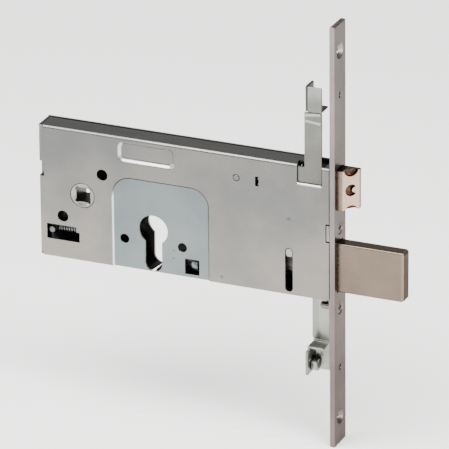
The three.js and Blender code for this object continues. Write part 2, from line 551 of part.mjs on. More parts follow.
function boltTail() {
  const stumpStepLeft = STUMP_X + STUMP_RADIUS + 1.4;
  const left = STUMP_X - 1.5;
  const tooth1 = left + CAM_TOOTH;
  const tooth2 = tooth1 + BOLT_THROW / 2;
  const bandEnd = PINION_X - BOLT_GEAR_RADIUS - ADDENDUM - 0.5;
  const stepRight = STUMP_X + BOLT_THROW - STUMP_RADIUS - 0.5;
  const pocketEnd = tooth2 + 13;
  const low = CYLINDER_X + CYLINDER_RADIUS + 1 + BOLT_THROW;
  const footLeft = CYLINDER_X + ESCUTCHEON_SPACING / 2 + ESCUTCHEON_HOLE_RADIUS + BOLT_THROW + 2.7;
  const lowBottom = BOLT_TOP - 9;
  const band = CYLINDER_Z + CYLINDER_RADIUS + GAP;
  const right = TAIL_IN_HEAD - BOLT_HEAD_INSIDE;
  const last = Math.floor((right - PINION_X) / TOOTH_PITCH - 0.5);
  const teeth = rackTeeth(-1, last).map(([along, out]) => [PINION_X + along, BOLT_RACK_Z + out]).reverse();
  const rackFloor = BOLT_RACK_Z - DEDENDUM;
  const shape = outline([
    [left, band], [tooth1, band], [tooth1, CAM_POCKET_TOP], [tooth2 - CAM_TOOTH, CAM_POCKET_TOP],
    [tooth2 - CAM_TOOTH, band], [tooth2, band], [tooth2, CAM_POCKET_TOP], [pocketEnd, CAM_POCKET_TOP],
    [pocketEnd, band - 2], [low, band - 5], [low, lowBottom], [footLeft, lowBottom], [footLeft, TAIL_FOOT],
    [right, TAIL_FOOT], [right, rackFloor], ...teeth, [bandEnd + 1, rackFloor], [bandEnd, rackFloor + 1],
    [bandEnd, TAIL_BAND_TOP - STUMP_STEP], [stepRight, TAIL_BAND_TOP - STUMP_STEP], [stepRight, TAIL_BAND_TOP],
    [stumpStepLeft, TAIL_BAND_TOP], [stumpStepLeft, TAIL_BAND_TOP - STUMP_STEP],
    [left, TAIL_BAND_TOP - STUMP_STEP],
  ]);
  const halfway = STUMP_X + BOLT_THROW / 2;
  const notch = block(halfway - STUMP_RADIUS - 0.6, halfway + STUMP_RADIUS + 1.3, Y_TAIL - 1, Y_TAIL_END + 1,
    TAIL_BAND_TOP - STUMP_STEP, TAIL_BAND_TOP + THROUGH);
  const holes = BOLT_RIVET_DROPS.map((drop) => barY(RIVET_X, BOLT_TOP - drop, BOLT_RIVET_RADIUS + GAP,
    Y_TAIL - THROUGH, Y_TAIL_END + THROUGH));
  return cut(sheet(shape, Y_TAIL, Y_TAIL_END), notch, ...holes);
}

const boltRivet = (drop) => barY(RIVET_X, BOLT_TOP - drop, BOLT_RIVET_RADIUS,
  Y_MID - BOLT_THICKNESS / 2 + 0.1, Y_MID + BOLT_THICKNESS / 2 - 0.1);

// ---------------------------------------------------------------- rod slides

const RACK_LEG = 7;             // width of the leg that carries a rack
const ARM_WIDTH = 12;           // of the arm that crosses under the bolt's tail

// The front slide: rack leg on the pinion's right, guide slot, guide lug and bar out of the top.
function upperSlide() {
  const pitchX = PINION_X + ROD_GEAR_RADIUS;
  const last = Math.ceil(ROD_TRAVEL / TOOTH_PITCH);
  const teeth = rackTeeth(-1, last).map(([along, out]) => [pitchX - out, PINION_Z + along]);
  const rootX = pitchX + DEDENDUM;
  const bottom = PINION_Z - 1.5 * TOOTH_PITCH - 0.8;
  const top = PINION_Z + (last + 0.5) * TOOTH_PITCH + 0.8;
  const tongueBottom = GUIDE_LUG_BOTTOM - 0.6;
  const shoulderLeft = ROD_BAR_LEFT - BAR_NOTCH_SIDE - 0.5;
  const shoulderTop = CASE_WALL_TOP - SLIP;
  const shape = outline([
    [rootX, bottom], [rootX + RACK_LEG, bottom], [GUIDE_LUG_X - 5, bottom - 3], [GUIDE_LUG_X - 4,
    tongueBottom],
    [GUIDE_LUG_X + 4, tongueBottom], [GUIDE_LUG_X + 5, bottom - 3], [ROD_BAR_RIGHT, bottom + 3],
    [ROD_BAR_RIGHT, UPPER_BAR_TOP], [ROD_BAR_LEFT, UPPER_BAR_TOP], [ROD_BAR_LEFT, shoulderTop],
    [shoulderLeft, shoulderTop], [shoulderLeft, top], [rootX, top],
    ...teeth.reverse(),
  ]);
  const plate = sheet(shape, Y_FRONT_SLIDE, Y_FRONT_SLIDE + SLIDE_SHEET);
  const lug = standingSlot(GUIDE_LUG_X, GUIDE_LUG_BOTTOM, GUIDE_LUG_TOP, GUIDE_LUG_WIDTH, Y_COVER + 0.3,
    Y_FRONT_SLIDE + SLIDE_SHEET);
  const studSlot = standingSlot(SLIDE_STUD_X, SLIDE_STUD_Z - STUD_RADIUS - SLIP,
    SLIDE_STUD_Z + ROD_TRAVEL + STUD_RADIUS + SLIP, 2 * (STUD_RADIUS + GAP), Y_COVER, Y_MID);
  return cut(join(plate, lug), studSlot);
}

// The back slide: rack leg on the pinion's left, an arm under the bolt and a bar out of the bottom.
function lowerSlide() {
  const pitchX = PINION_X - ROD_GEAR_RADIUS;
  const first = -Math.ceil(ROD_TRAVEL / TOOTH_PITCH);
  const teeth = rackTeeth(first, 1).map(([along, out]) => [pitchX + out, PINION_Z + along]);
  const rootX = pitchX - DEDENDUM;
  const top = PINION_Z + 1.5 * TOOTH_PITCH + 0.8;
  const armBottom = BOLT_BOTTOM + 1.6;
  const armTop = armBottom + ARM_WIDTH;
  const shape = outline([
    [rootX, top], [rootX - RACK_LEG, top], [rootX - RACK_LEG, armBottom], [ROD_BAR_LEFT, armBottom],
    [ROD_BAR_LEFT, LOWER_BAR_BOTTOM], [ROD_BAR_RIGHT, LOWER_BAR_BOTTOM], [ROD_BAR_RIGHT, armTop],
    [rootX, armTop], ...teeth,
  ]);
  return sheet(shape, Y_BACK_SLIDE, Y_BACK_SLIDE + SLIDE_SHEET);
}

const HOOK_STRIP_LEFT = -16.5;
const HOOK_TOP = 86;
const HOOK_DEPTH = 3.9;         // how far back the hook's web and shelf reach

// The upper hook: a front strip with a web folded back on its left and a shelf at its foot.
function upperRodHook() {
  const foot = UPPER_BAR_TOP + GAP;
  const yBack = Y_FRONT_SLIDE + SLIDE_SHEET;
  const strip = block(HOOK_STRIP_LEFT, ROD_BAR_RIGHT, Y_FRONT_SLIDE, yBack, foot, HOOK_TOP);
  const shelf = block(ROD_BAR_LEFT + 0.3, ROD_BAR_RIGHT, yBack - 0.01, HOOK_DEPTH, foot, foot + SLIDE_SHEET);
  const web = block(ROD_BAR_LEFT + 0.3, HOOK_STRIP_LEFT, Y_FRONT_SLIDE, HOOK_DEPTH, foot, HOOK_TOP);
  return join(strip, shelf, web);
}

const LOWER_HOOK_BOTTOM = -83;
const CHEEK_TOP = -68.6;
const HOOK_SCREW_Z = -78.4;
const CHEEK_LEFT = -17.7;
const CHEEK_SHEET = 1.4;

// The lower hook: a back strip, a shelf bent forward and a cheek bent from it on the left.
function lowerRodHook() {
  const top = LOWER_BAR_BOTTOM - GAP;
  const strip = block(CHEEK_LEFT, ROD_BAR_RIGHT, Y_BACK_SLIDE, Y_BACK_SLIDE + SLIDE_SHEET,
    LOWER_HOOK_BOTTOM, top);
  const shelfFront = Y_BOLT_LAYER + 0.5;
  const yEnd = Y_BACK_SLIDE + 0.5;
  const right = CHEEK_LEFT + CHEEK_SHEET;
  const shelf = block(CHEEK_LEFT, ROD_BAR_RIGHT, shelfFront, yEnd, CHEEK_TOP + 0.8,
    CHEEK_TOP + 0.8 + SLIDE_SHEET);
  const cheek = block(CHEEK_LEFT, right, Y_COVER + 0.5, yEnd, LOWER_HOOK_BOTTOM + 0.5, CHEEK_TOP);
  const riser = block(CHEEK_LEFT, right, shelfFront, yEnd, CHEEK_TOP - 0.5, CHEEK_TOP + 1.2);
  return cut(join(strip, shelf, cheek, riser),
    barX(0, HOOK_SCREW_Z, FIXING_SCREW_RADIUS + GAP, CHEEK_LEFT - THROUGH, CHEEK_LEFT + THROUGH + 1));
}

function lowerHookScrew() {
  const headX = CHEEK_LEFT + CHEEK_SHEET + GAP;
  const head = barX(0, HOOK_SCREW_Z, FIXING_SCREW_HEAD_RADIUS, headX, headX + 3.4, 6);
  return join(head, barX(0, HOOK_SCREW_Z, FIXING_SCREW_RADIUS, CHEEK_LEFT - 1, headX + 1));
}

// ---------------------------------------------------------------- latch

function latchHead() {
  const plan = outline([[-LATCH_HEAD_INSIDE, Y_LATCH], [LATCH_FLAT, Y_LATCH],
    [LATCH_PROJECTION, Y_LATCH_END - LATCH_NOSE], [LATCH_PROJECTION, Y_LATCH_END], [-LATCH_HEAD_INSIDE,
    Y_LATCH_END]]);
  const geometry = new THREE.ExtrudeGeometry(plan, { depth: LATCH_HEIGHT, bevelEnabled: false });
  geometry.translate(0, 0, LATCH_BOTTOM);
  const bevelAngle = Math.atan2(Y_LATCH_END - LATCH_NOSE - Y_LATCH, LATCH_PROJECTION - LATCH_FLAT);
  const bevelX = (LATCH_FLAT + LATCH_PROJECTION) / 2;
  const bevelY = (Y_LATCH + Y_LATCH_END - LATCH_NOSE) / 2;
  const scoop = (radius, z) => {
    const cutter = new THREE.CylinderGeometry(radius, radius, 5, 28);
    cutter.rotateZ(bevelAngle);
    cutter.translate(bevelX, bevelY, z);
    return toSolid(cutter);
  };
  const shank = barX(Y_SHANK, LATCH_SHANK_Z, LATCH_SHANK_RADIUS, LUG_X - 8, -LATCH_HEAD_INSIDE + 1);
  const middle = (LATCH_BOTTOM + LATCH_TOP) / 2;
  const head = cut(toSolid(geometry), scoop(4.4, LATCH_TOP + 1.4), scoop(3, middle), scoop(4.4,
    LATCH_BOTTOM - 1.4));
  return join(head, shank);
}

// The ring behind the draw bar's lug that lets the lug pull the latch.
function latchCollar() {
  const ring = barX(Y_SHANK, LATCH_SHANK_Z, LATCH_SHANK_RADIUS + GAP + 0.9, LUG_X - GAP - 2.4, LUG_X - GAP);
  return cut(ring, barX(Y_SHANK, LATCH_SHANK_Z, LATCH_SHANK_RADIUS + GAP, LUG_X - 9, LUG_X + 1));
}

// The plate from the follower's pin to the lug round the latch's shank.
function latchDrawBar() {
  const left = FOLLOWER_PIN_X - FOLLOWER_PIN_RADIUS - 3.5;
  const forkRight = FOLLOWER_PIN_X + FOLLOWER_PIN_RADIUS + 3.5;
  const plate = sheet(outline([
    [left, DRAW_BAR_BOTTOM - 1.5], [forkRight, DRAW_BAR_BOTTOM - 1.5], [forkRight + 1.5, DRAW_BAR_BOTTOM],
    [LUG_X + 1, DRAW_BAR_BOTTOM], [LUG_X + 1, DRAW_BAR_TOP], [left + 2, DRAW_BAR_TOP], [left,
    DRAW_BAR_TOP - 2],
  ]), Y_TAIL, Y_TAIL_END);
  const lug = block(LUG_X, LUG_X + LUG_THICKNESS, Y_BOLT_LAYER, Y_BOLT_LAYER_END, DRAW_BAR_BOTTOM, LATCH_TOP);
  const pinSlot = block(FOLLOWER_PIN_X - FOLLOWER_PIN_RADIUS - GAP, FOLLOWER_PIN_X + FOLLOWER_PIN_RADIUS + GAP,
    Y_TAIL - 1, Y_TAIL_END + 1, DRAW_BAR_BOTTOM - 4, SPINDLE_Z + FOLLOWER_ARM + FOLLOWER_PIN_RADIUS + SLIP);
  const studSlot = lyingSlot(GUIDE_RIVET_X - GUIDE_RIVET_RADIUS - GAP,
    GUIDE_RIVET_X + LATCH_TRAVEL + GUIDE_RIVET_RADIUS + GAP, GUIDE_RIVET_Z, 2 * (GUIDE_RIVET_RADIUS + GAP),
    Y_TAIL - 1, Y_TAIL_END + 1);
  const shankHole = barX(Y_SHANK, LATCH_SHANK_Z, LATCH_SHANK_RADIUS + SLIP, LUG_X - 1,
    LUG_X + LUG_THICKNESS + 1);
  return cut(join(plate, lug), pinSlot, studSlot, shankHole);
}

// A coil spring whose axis lies along X: a wire swept along a helix.
class HelixX extends THREE.Curve {
  constructor(x0, x1, y, z, radius, turns) {
    super();
    Object.assign(this, { x0, x1, y, z, radius, turns });
  }

  getPoint(t) {
    const angle = 2 * Math.PI * this.turns * t;
    return new THREE.Vector3(this.x0 + (this.x1 - this.x0) * t, this.y + this.radius * Math.cos(angle),
      this.z + this.radius * Math.sin(angle));
  }
}

function coilSpring(x0, x1, y, z, radius, wire, turns) {
  const section = new THREE.Shape();
  section.absarc(0, 0, wire / 2, 0, 2 * Math.PI);
  const path = new HelixX(x0 + wire / 2, x1 - wire / 2, y, z, radius, turns);
  const geometry = new THREE.ExtrudeGeometry(section, { steps: turns * 10, extrudePath: path, curveSegments: 3,
    bevelEnabled: false });
  return toSolid(geometry);
}

// ---------------------------------------------------------------- spindle hub

// The hub: bosses that turn in the case, a disc, an arm up to the draw bar and an arm down to the spring.
function follower() {
  const bosses = barY(SPINDLE_X, SPINDLE_Z, HUB_RADIUS, Y_COVER + 0.2, Y_BACK - 0.2, 36);
  const disc = barY(SPINDLE_X, SPINDLE_Z, HUB_DISC_RADIUS, Y_BOLT_LAYER, Y_BOLT_LAYER_END, 36);
  const tip = FOLLOWER_ARM + 3.6;
  const upX = Math.sin(FOLLOWER_SWING);
  const upZ = Math.cos(FOLLOWER_SWING);
  const along = (distance, side) => [SPINDLE_X + distance * upX + side * upZ,
    SPINDLE_Z + distance * upZ - side * upX];
  const upperArm = sheet(outline([along(4, 5.5), along(tip, 3.2), along(tip, -3.2), along(4, -5.5)].reverse()),
    Y_BOLT_LAYER, Y_TAIL - GAP);
  const lowerArm = sheet(outline([[SPINDLE_X - 5, SPINDLE_Z - 4], [SPINDLE_X - 3, SPINDLE_Z - SPRING_ARM - 3],
    [SPINDLE_X + 3, SPINDLE_Z - SPRING_ARM - 3], [SPINDLE_X + 5, SPINDLE_Z - 4]]), Y_MID - 1, Y_MID + 1);
  const square = block(SPINDLE_X - SPINDLE_SQUARE / 2, SPINDLE_X + SPINDLE_SQUARE / 2, Y_COVER - THROUGH,
    Y_BACK + THROUGH, SPINDLE_Z - SPINDLE_SQUARE / 2, SPINDLE_Z + SPINDLE_SQUARE / 2);
  const pinHole = barY(FOLLOWER_PIN_X, FOLLOWER_PIN_Z, FOLLOWER_PIN_RADIUS, Y_COVER, Y_MID);
  return cut(join(bosses, disc, upperArm, lowerArm), square, pinHole);
}

const followerPin = () => barY(FOLLOWER_PIN_X, FOLLOWER_PIN_Z, FOLLOWER_PIN_RADIUS - GAP, Y_BOLT_LAYER + 0.2,
  Y_TAIL_END);

// ---------------------------------------------------------------- tumbler

// The lever behind the bolt's tail, lifted by the key. Its stump stands over the steps in the tail.
function tumbler() {
  const stumpZ = TAIL_BAND_TOP + SLIP + STUMP_RADIUS;
  const belly = CYLINDER_Z + CYLINDER_RADIUS + 4;
  const shape = outline([
    [TUMBLER_PIVOT_X + 4, TUMBLER_PIVOT_Z - 4], [TUMBLER_PIVOT_X + 4, TUMBLER_PIVOT_Z + 4],
    [STUMP_X - 4, stumpZ + 4], [CYLINDER_X - 8, stumpZ + 2], [CYLINDER_X - 9, belly + 4],
    [CYLINDER_X - 5, belly], [CYLINDER_X + 8, belly], [CYLINDER_X + 14, stumpZ - 3],
  ].reverse());
  const plate = sheet(shape, Y_BACK_SLIDE, Y_BACK_SLIDE + SLIDE_SHEET);
  const stump = barY(STUMP_X, stumpZ, STUMP_RADIUS, Y_TAIL, Y_BACK_SLIDE + 0.5);
  return cut(join(plate, stump), barY(TUMBLER_PIVOT_X, TUMBLER_PIVOT_Z, TUMBLER_PIVOT_RADIUS + GAP, 0,
    Y_BACK));
}

// A bent leaf between the case top and the tumbler.
function tumblerSpring() {
  const thick = 0.5;
  const inner = [[7.5, 12], [-4.5, 11.5], [-7.5, 9], [-5.5, 6.5], [3.5, 2.6]];
  const outer = [[7.5, 12 + thick], [-4.7, 12 + thick], [-8.1, 9], [-5.8, 6], [3.3, 2.6 - thick]];
  const points = [...inner, ...outer.reverse()].map(([x, z]) => [STUMP_X + x, TUMBLER_PIVOT_Z + z]);
  return sheet(outline(points), Y_BACK_SLIDE, Y_BACK_SLIDE + SLIDE_SHEET);
}

// ---------------------------------------------------------------- cylinder screw

function cylinderScrew() {
  const shank = barX(0, CYLINDER_SCREW_Z, CYLINDER_SCREW_RADIUS, SCREW_TIP_X, SCREW_HEAD_X + 1);
  const head = barX(0, CYLINDER_SCREW_Z, CYLINDER_SCREW_RADIUS + 1.5, SCREW_HEAD_X, SCREW_HEAD_X + 3.5, 28);
  const socket = barX(0, CYLINDER_SCREW_Z, CYLINDER_SCREW_RADIUS - 0.3, SCREW_HEAD_X + 1.5,
    SCREW_HEAD_X + 6, 6);
  return cut(join(shank, head), socket);
}

function cylinderScrewBracket() {
  const upright = block(BRACKET_X, BRACKET_X + 2, -4, 4, CASE_FLOOR + GAP, CYLINDER_SCREW_Z + 4.2);
  const foot = block(BRACKET_X, BRACKET_X + 8, -4, 4, CASE_FLOOR + GAP, CASE_FLOOR + GAP + 1);
  return cut(join(upright, foot), barX(0, CYLINDER_SCREW_Z, CYLINDER_SCREW_RADIUS + GAP, BRACKET_X - 3,
    BRACKET_X + 11));
}

// ---------------------------------------------------------------- assembly

const lock = new THREE.Group();
lock.name = 'mortise_lock';

function place(name, solid, material) {
  const mesh = new THREE.Mesh(toGeometry(solid), material);
  mesh.name = name;
  lock.add(mesh);
}

place('front_cover', frontCover(), ZINC);
place('case_back', caseBack(), ZINC);
place('end_plate', endPlate(), ZINC);
place('forend', forend(), NICKEL);
place('forend_screw_upper', forendScrew(UPPER_FIXING_Z), NICKEL);
place('forend_screw_lower', forendScrew(LOWER_FIXING_Z), NICKEL);

const STUDS = [
  [X_CASE_REAR + 9, CASE_TOP - 8],
  [X_CASE_REAR + 14, CASE_BOTTOM + 5],
  [CYLINDER_X + 27.5, CASE_TOP - 5],
  [PANEL_RIGHT + 7.6, CASE_BOTTOM + 5.2],
];
STUDS.forEach(([x, z], index) => place(`case_stud_${index + 1}`, caseStud(x, z), STEEL));
place('slide_guide_stud', caseStud(SLIDE_STUD_X, SLIDE_STUD_Z), STEEL);
place('latch_guide_stud', barY(GUIDE_RIVET_X, GUIDE_RIVET_Z, GUIDE_RIVET_RADIUS, Y_COVER - 0.3,
  Y_TAIL_END + 1), STEEL);

place('deadbolt_head', deadboltHead(), NICKEL);
place('bolt_tail', boltTail(), STEEL);
BOLT_RIVET_DROPS.forEach((drop, index) => place(`bolt_rivet_${index + 1}`, boltRivet(drop), STEEL));
[-4.5, 21.5].forEach((ahead, index) => place(`bolt_guide_post_${index + 1}`,
  barY(CYLINDER_X + ahead, TAIL_BAND_TOP + SLIP + STUD_RADIUS, STUD_RADIUS, Y_PANEL_IN + GAP, Y_TAIL_END),
    STEEL));

place('rod_pinion', rodPinion(), STEEL);
place('pinion_axle', barY(PINION_X, PINION_Z, AXLE_RADIUS, Y_FRONT_SLIDE, Y_BACK_SLIDE + SLIDE_SHEET), STEEL);
place('upper_slide', upperSlide(), DARK_ZINC);
place('upper_rod_hook', upperRodHook(), DARK_ZINC);
place('lower_slide', lowerSlide(), DARK_ZINC);
place('lower_rod_hook', lowerRodHook(), DARK_ZINC);
place('lower_hook_screw', lowerHookScrew(), ZINC);

place('follower', follower(), ZINC);
place('follower_pin', followerPin(), STEEL);
place('latch_draw_bar', latchDrawBar(), ZINC);
place('latch_head', latchHead(), ROSE_NICKEL);
place('latch_collar', latchCollar(), STEEL);
place('latch_spring', coilSpring(LUG_X + LUG_THICKNESS + GAP, -LATCH_HEAD_INSIDE - GAP, Y_SHANK, LATCH_SHANK_Z,
  LATCH_SHANK_RADIUS + GAP + 0.6, 0.7, 7), SPRING_STEEL);
place('follower_spring_post', caseStud(SPINDLE_X - 19.5, SPINDLE_Z - SPRING_ARM), STEEL);
place('follower_spring', coilSpring(SPINDLE_X - 17, SPINDLE_X - 4, Y_MID, SPINDLE_Z - SPRING_ARM, 2.1, 0.8, 9),
  SPRING_STEEL);

place('tumbler', tumbler(), STEEL);
place('tumbler_pivot', barY(TUMBLER_PIVOT_X, TUMBLER_PIVOT_Z, TUMBLER_PIVOT_RADIUS, Y_TAIL_END + 0.5,
  Y_BACK_IN - GAP), STEEL);
place('tumbler_spring', tumblerSpring(), SPRING_STEEL);
place('cylinder_screw', cylinderScrew(), DARK_ZINC);
place('cylinder_screw_bracket', cylinderScrewBracket(), ZINC);

export default lock;
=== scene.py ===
"""A mortise lock for a euro-profile cylinder, with deadbolt, sprung latch and two rod slides.
Lengths are worked in millimetres in the lock's own frame and stored in metres: +X is the throw,
+Z is up the door, and -Y is the side of the case that carries the cover."""
import math

import bmesh
import bpy
import numpy as np
from mathutils import Matrix, Vector


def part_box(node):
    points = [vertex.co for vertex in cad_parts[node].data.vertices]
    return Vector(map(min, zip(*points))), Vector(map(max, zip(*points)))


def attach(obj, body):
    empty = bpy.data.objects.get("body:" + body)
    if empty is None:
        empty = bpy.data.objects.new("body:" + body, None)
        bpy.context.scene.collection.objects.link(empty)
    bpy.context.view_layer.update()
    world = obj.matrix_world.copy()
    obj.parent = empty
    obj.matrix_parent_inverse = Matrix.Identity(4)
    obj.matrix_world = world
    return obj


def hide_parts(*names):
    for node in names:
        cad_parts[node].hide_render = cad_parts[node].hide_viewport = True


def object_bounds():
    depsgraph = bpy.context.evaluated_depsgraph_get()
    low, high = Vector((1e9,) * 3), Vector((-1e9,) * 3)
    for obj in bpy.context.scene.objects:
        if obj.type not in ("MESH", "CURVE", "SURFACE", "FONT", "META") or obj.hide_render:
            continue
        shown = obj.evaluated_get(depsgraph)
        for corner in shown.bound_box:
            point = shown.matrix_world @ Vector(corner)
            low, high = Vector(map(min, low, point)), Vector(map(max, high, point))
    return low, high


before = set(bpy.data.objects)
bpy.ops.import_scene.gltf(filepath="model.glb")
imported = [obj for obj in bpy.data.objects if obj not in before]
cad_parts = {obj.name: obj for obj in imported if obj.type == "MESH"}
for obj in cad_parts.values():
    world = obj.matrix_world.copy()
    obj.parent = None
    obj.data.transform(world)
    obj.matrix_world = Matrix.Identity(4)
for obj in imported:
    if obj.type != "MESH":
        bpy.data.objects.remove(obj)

cad_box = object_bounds()

# ------------------------------------------------------------------ studio
# The lock hangs just over a pale floor under a broad overhead softbox, with weak ones at its side and
# left and a small lamp over the floor beyond the forend. The camera looks from the cover's side, from
# the forend's end and from above, through a very long lens.

MM = 0.001
AIM = (-68.57, 1.50, -4.99)
AZIMUTH, ELEVATION, ROLL = (math.radians(angle) for angle in (23.47, 22.99, 0.53))
DISTANCE = 3165.19

camera = bpy.data.objects.new("camera", bpy.data.cameras.new("camera"))
bpy.context.scene.collection.objects.link(camera)
camera.data.sensor_width = 36
camera.data.lens = 466.85
camera.data.clip_end = 100
back = Vector((math.sin(AZIMUTH) * math.cos(ELEVATION), -math.cos(AZIMUTH) * math.cos(ELEVATION),
               math.sin(ELEVATION)))
right = Vector((math.cos(AZIMUTH), math.sin(AZIMUTH), 0))
up = back.cross(right)
right, up = (right * math.cos(ROLL) - up * math.sin(ROLL), right * math.sin(ROLL) + up * math.cos(ROLL))
turn = Matrix((right, up, back)).transposed().to_4x4()
camera.matrix_world = Matrix.Translation((Vector(AIM) + DISTANCE * back) * MM) @ turn
bpy.context.scene.camera = camera


def softbox(name, place, target, width, height, watts, colour):
    """A rectangular lamp at a place, its face turned to the target, both in metres."""
    lamp = bpy.data.objects.new(name, bpy.data.lights.new(name, "AREA"))
    lamp.data.shape = "RECTANGLE"
    lamp.data.size, lamp.data.size_y = width, height
    lamp.data.energy = watts
    lamp.data.color = colour
    lamp.location = place
    lamp.rotation_euler = (Vector(target) - Vector(place)).to_track_quat("-Z", "Y").to_euler()
    bpy.context.scene.collection.objects.link(lamp)


CENTRE = (-0.09, 0, 0)
softbox("overhead_softbox", (-0.5, -1.0, 2.2), CENTRE, 2.4, 2.4, 205, (1, 0.99, 0.97))
softbox("side_softbox", (1.6, -0.5, 0.45), CENTRE, 0.5, 1.2, 20, (1, 0.97, 0.93))
softbox("left_softbox", (-1.6, -1.3, 0.25), CENTRE, 0.9, 0.7, 13, (0.96, 0.98, 1))
softbox("floor_wash", (0.5, -0.35, 0.9), (0.38, -0.2, -0.12), 0.4, 0.4, 12, (1, 0.98, 0.95))

world = bpy.data.worlds.new("studio")
bpy.context.scene.world = world
world.use_nodes = True
world.node_tree.nodes["Background"].inputs["Color"].default_value = (0.84, 0.84, 0.83, 1)
world.node_tree.nodes["Background"].inputs["Strength"].default_value = 0.69

FLOOR_HALF = 4.0
floor_level = cad_box[0].z - 0.3 * MM
floor_mesh = bpy.data.meshes.new("floor")
floor_mesh.from_pydata([(x * FLOOR_HALF, y * FLOOR_HALF, floor_level) for x, y in
                        ((-1, -1), (1, -1), (1, 1), (-1, 1))], [], [(0, 1, 2, 3)])
floor = bpy.data.objects.new("floor", floor_mesh)
bpy.context.scene.collection.objects.link(floor)
floor_paint = bpy.data.materials.new("floor_paint")
floor_paint.use_nodes = True
floor_paint.node_tree.nodes["Principled BSDF"].inputs["Base Color"].default_value = (0.95, 0.95, 0.95, 1)
floor_paint.node_tree.nodes["Principled BSDF"].inputs["Roughness"].default_value = 0.9
floor_mesh.materials.append(floor_paint)

# ------------------------------------------------------------------ front cover
# The cover is one pressing of 1.2 mm zinc-plated steel: a face with a sunk panel round the cylinder
# and a shallow label field, folded over the top and the rear. Its holes are punched before folding.

SHEET = 1.2
Y_COVER, Y_COVER_IN = -7.5, -6.3
X_REAR, X_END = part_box("front_cover")[0].x / MM, -3.3
Z_FLOOR, Z_TOP = -36.0, 41.0
FOLD = 1.7
CYLINDER = (-107.5, -11.5)
SPINDLE = (-149.3, 2.7)
PANEL_DEPTH, LABEL_DEPTH = 1.0, 1.4


def grid_faces(rows, columns):
    """Quads between neighbouring points of a grid of closed rings, each ring being one row."""
    index = np.arange(rows * columns).reshape(rows, columns)
    index = np.hstack([index, index[:, :1]])
    return np.stack([index[:-1, :-1], index[:-1, 1:], index[1:, 1:], index[1:, :-1]], -1).reshape(-1, 4)


def skin(name, rings):
    """A closed body between rings of points in mm: quads from ring to ring and a flat cap at each end."""
    rows, columns = rings.shape[:2]
    faces = [tuple(quad) for quad in grid_faces(rows, columns).tolist()]
    faces.append(tuple(range(columns))[::-1])
    faces.append(tuple(range((rows - 1) * columns, rows * columns)))
    mesh = bpy.data.meshes.new(name)
    mesh.from_pydata((rings.reshape(-1, 3) * MM).tolist(), [], faces)
    body = bmesh.new()
    body.from_mesh(mesh)
    bmesh.ops.remove_doubles(body, verts=body.verts, dist=1e-7)
    bmesh.ops.recalc_face_normals(body, faces=body.faces)
    body.to_mesh(mesh)
    body.free()
    piece = bpy.data.objects.new(name, mesh)
    bpy.context.scene.collection.objects.link(piece)
    return piece


def circle(a, b, radius, count=48):
    """Points round a circle at equal angles."""
    angle = np.linspace(0, 2 * np.pi, count, endpoint=False)
    return np.stack([a + radius * np.cos(angle), b + radius * np.sin(angle)], -1)


def rounded(corners, radii, steps=6):
    """An outline through corners, each replaced by an arc of its radius: the arc's centre lies on the
    corner's bisector, and its points turn evenly from one tangent point to the other."""
    corner = np.array(corners, float)
    radius = np.broadcast_to(np.maximum(np.array(radii, float), 0.01), len(corner))[:, None]
    before = np.roll(corner, 1, 0) - corner
    after = np.roll(corner, -1, 0) - corner
    before /= np.linalg.norm(before, axis=1, keepdims=True)
    after /= np.linalg.norm(after, axis=1, keepdims=True)
    half = np.arccos(np.clip((before * after).sum(1, keepdims=True), -1, 1)) / 2
    bisector = before + after
    bisector /= np.linalg.norm(bisector, axis=1, keepdims=True)
    centre = corner + bisector * radius / np.sin(half)
    first = (corner + before * radius / np.tan(half) - centre) / radius
    last = (corner + after * radius / np.tan(half) - centre) / radius
    sweep = (np.pi - 2 * half)[:, None]
    t = np.linspace(0, 1, steps)[None, :, None]
    arc = (np.sin((1 - t) * sweep) * first[:, None] + np.sin(t * sweep) * last[:, None]) / np.sin(sweep)
    return (centre[:, None] + radius[:, None] * arc).reshape(-1, 2)


def box_outline(a0, a1, b0, b1, radius=0.3, steps=6):
    """A rectangle with rounded corners."""
    return rounded([(a0, b0), (a1, b0), (a1, b1), (a0, b1)], radius, steps)


def carried(name, outline, stations, axis):
    """An outline carried along an axis. A station is a place on the axis and how far the outline is
    grown there along its own outward normal, so a circle gives a turned piece."""
    station = np.array(stations, float)
    along = np.roll(outline, -1, 0) - np.roll(outline, 1, 0)
    normal = np.stack([along[:, 1], -along[:, 0]], -1)
    normal /= np.linalg.norm(normal, axis=1, keepdims=True)
    shifted = np.roll(outline, -1, 0)
    if (outline[:, 0] * shifted[:, 1] - shifted[:, 0] * outline[:, 1]).sum() < 0:
        normal = -normal
    ring = outline[None] + station[:, 1, None, None] * normal[None]
    depth = np.broadcast_to(station[:, 0, None, None], ring[..., :1].shape)
    order = {"x": (depth, ring[..., :1], ring[..., 1:]), "y": (ring[..., :1], depth, ring[..., 1:]),
             "z": (ring[..., :1], ring[..., 1:], depth)}[axis]
    return skin(name, np.concatenate(order, -1))


def eased(start, end, edge, steps=4):
    """Stations of a straight piece whose two ends are rounded over: a quarter circle at each end."""
    angle = np.linspace(0, np.pi / 2, steps)
    inset, run = -edge * (1 - np.sin(angle)), edge * (1 - np.cos(angle))
    first = np.stack([start + run, inset], -1)
    last = np.stack([end - run, inset], -1)[::-1]
    return np.vstack([first, last])


def punch(name, outline, start, end, roll, axis="y"):
    """The tool that leaves a punched hole: it flares by a quarter circle where it enters and leaves."""
    angle = np.linspace(0, np.pi / 2, 4)
    growth, run = roll * (1 - np.sin(angle)), roll * (1 - np.cos(angle))
    first = np.stack([start + run, growth], -1)
    last = np.stack([end - run, growth], -1)[::-1]
    return carried(name, outline, np.vstack([[(start - 3, roll)], first, last, [(end + 3, roll)]]), axis)


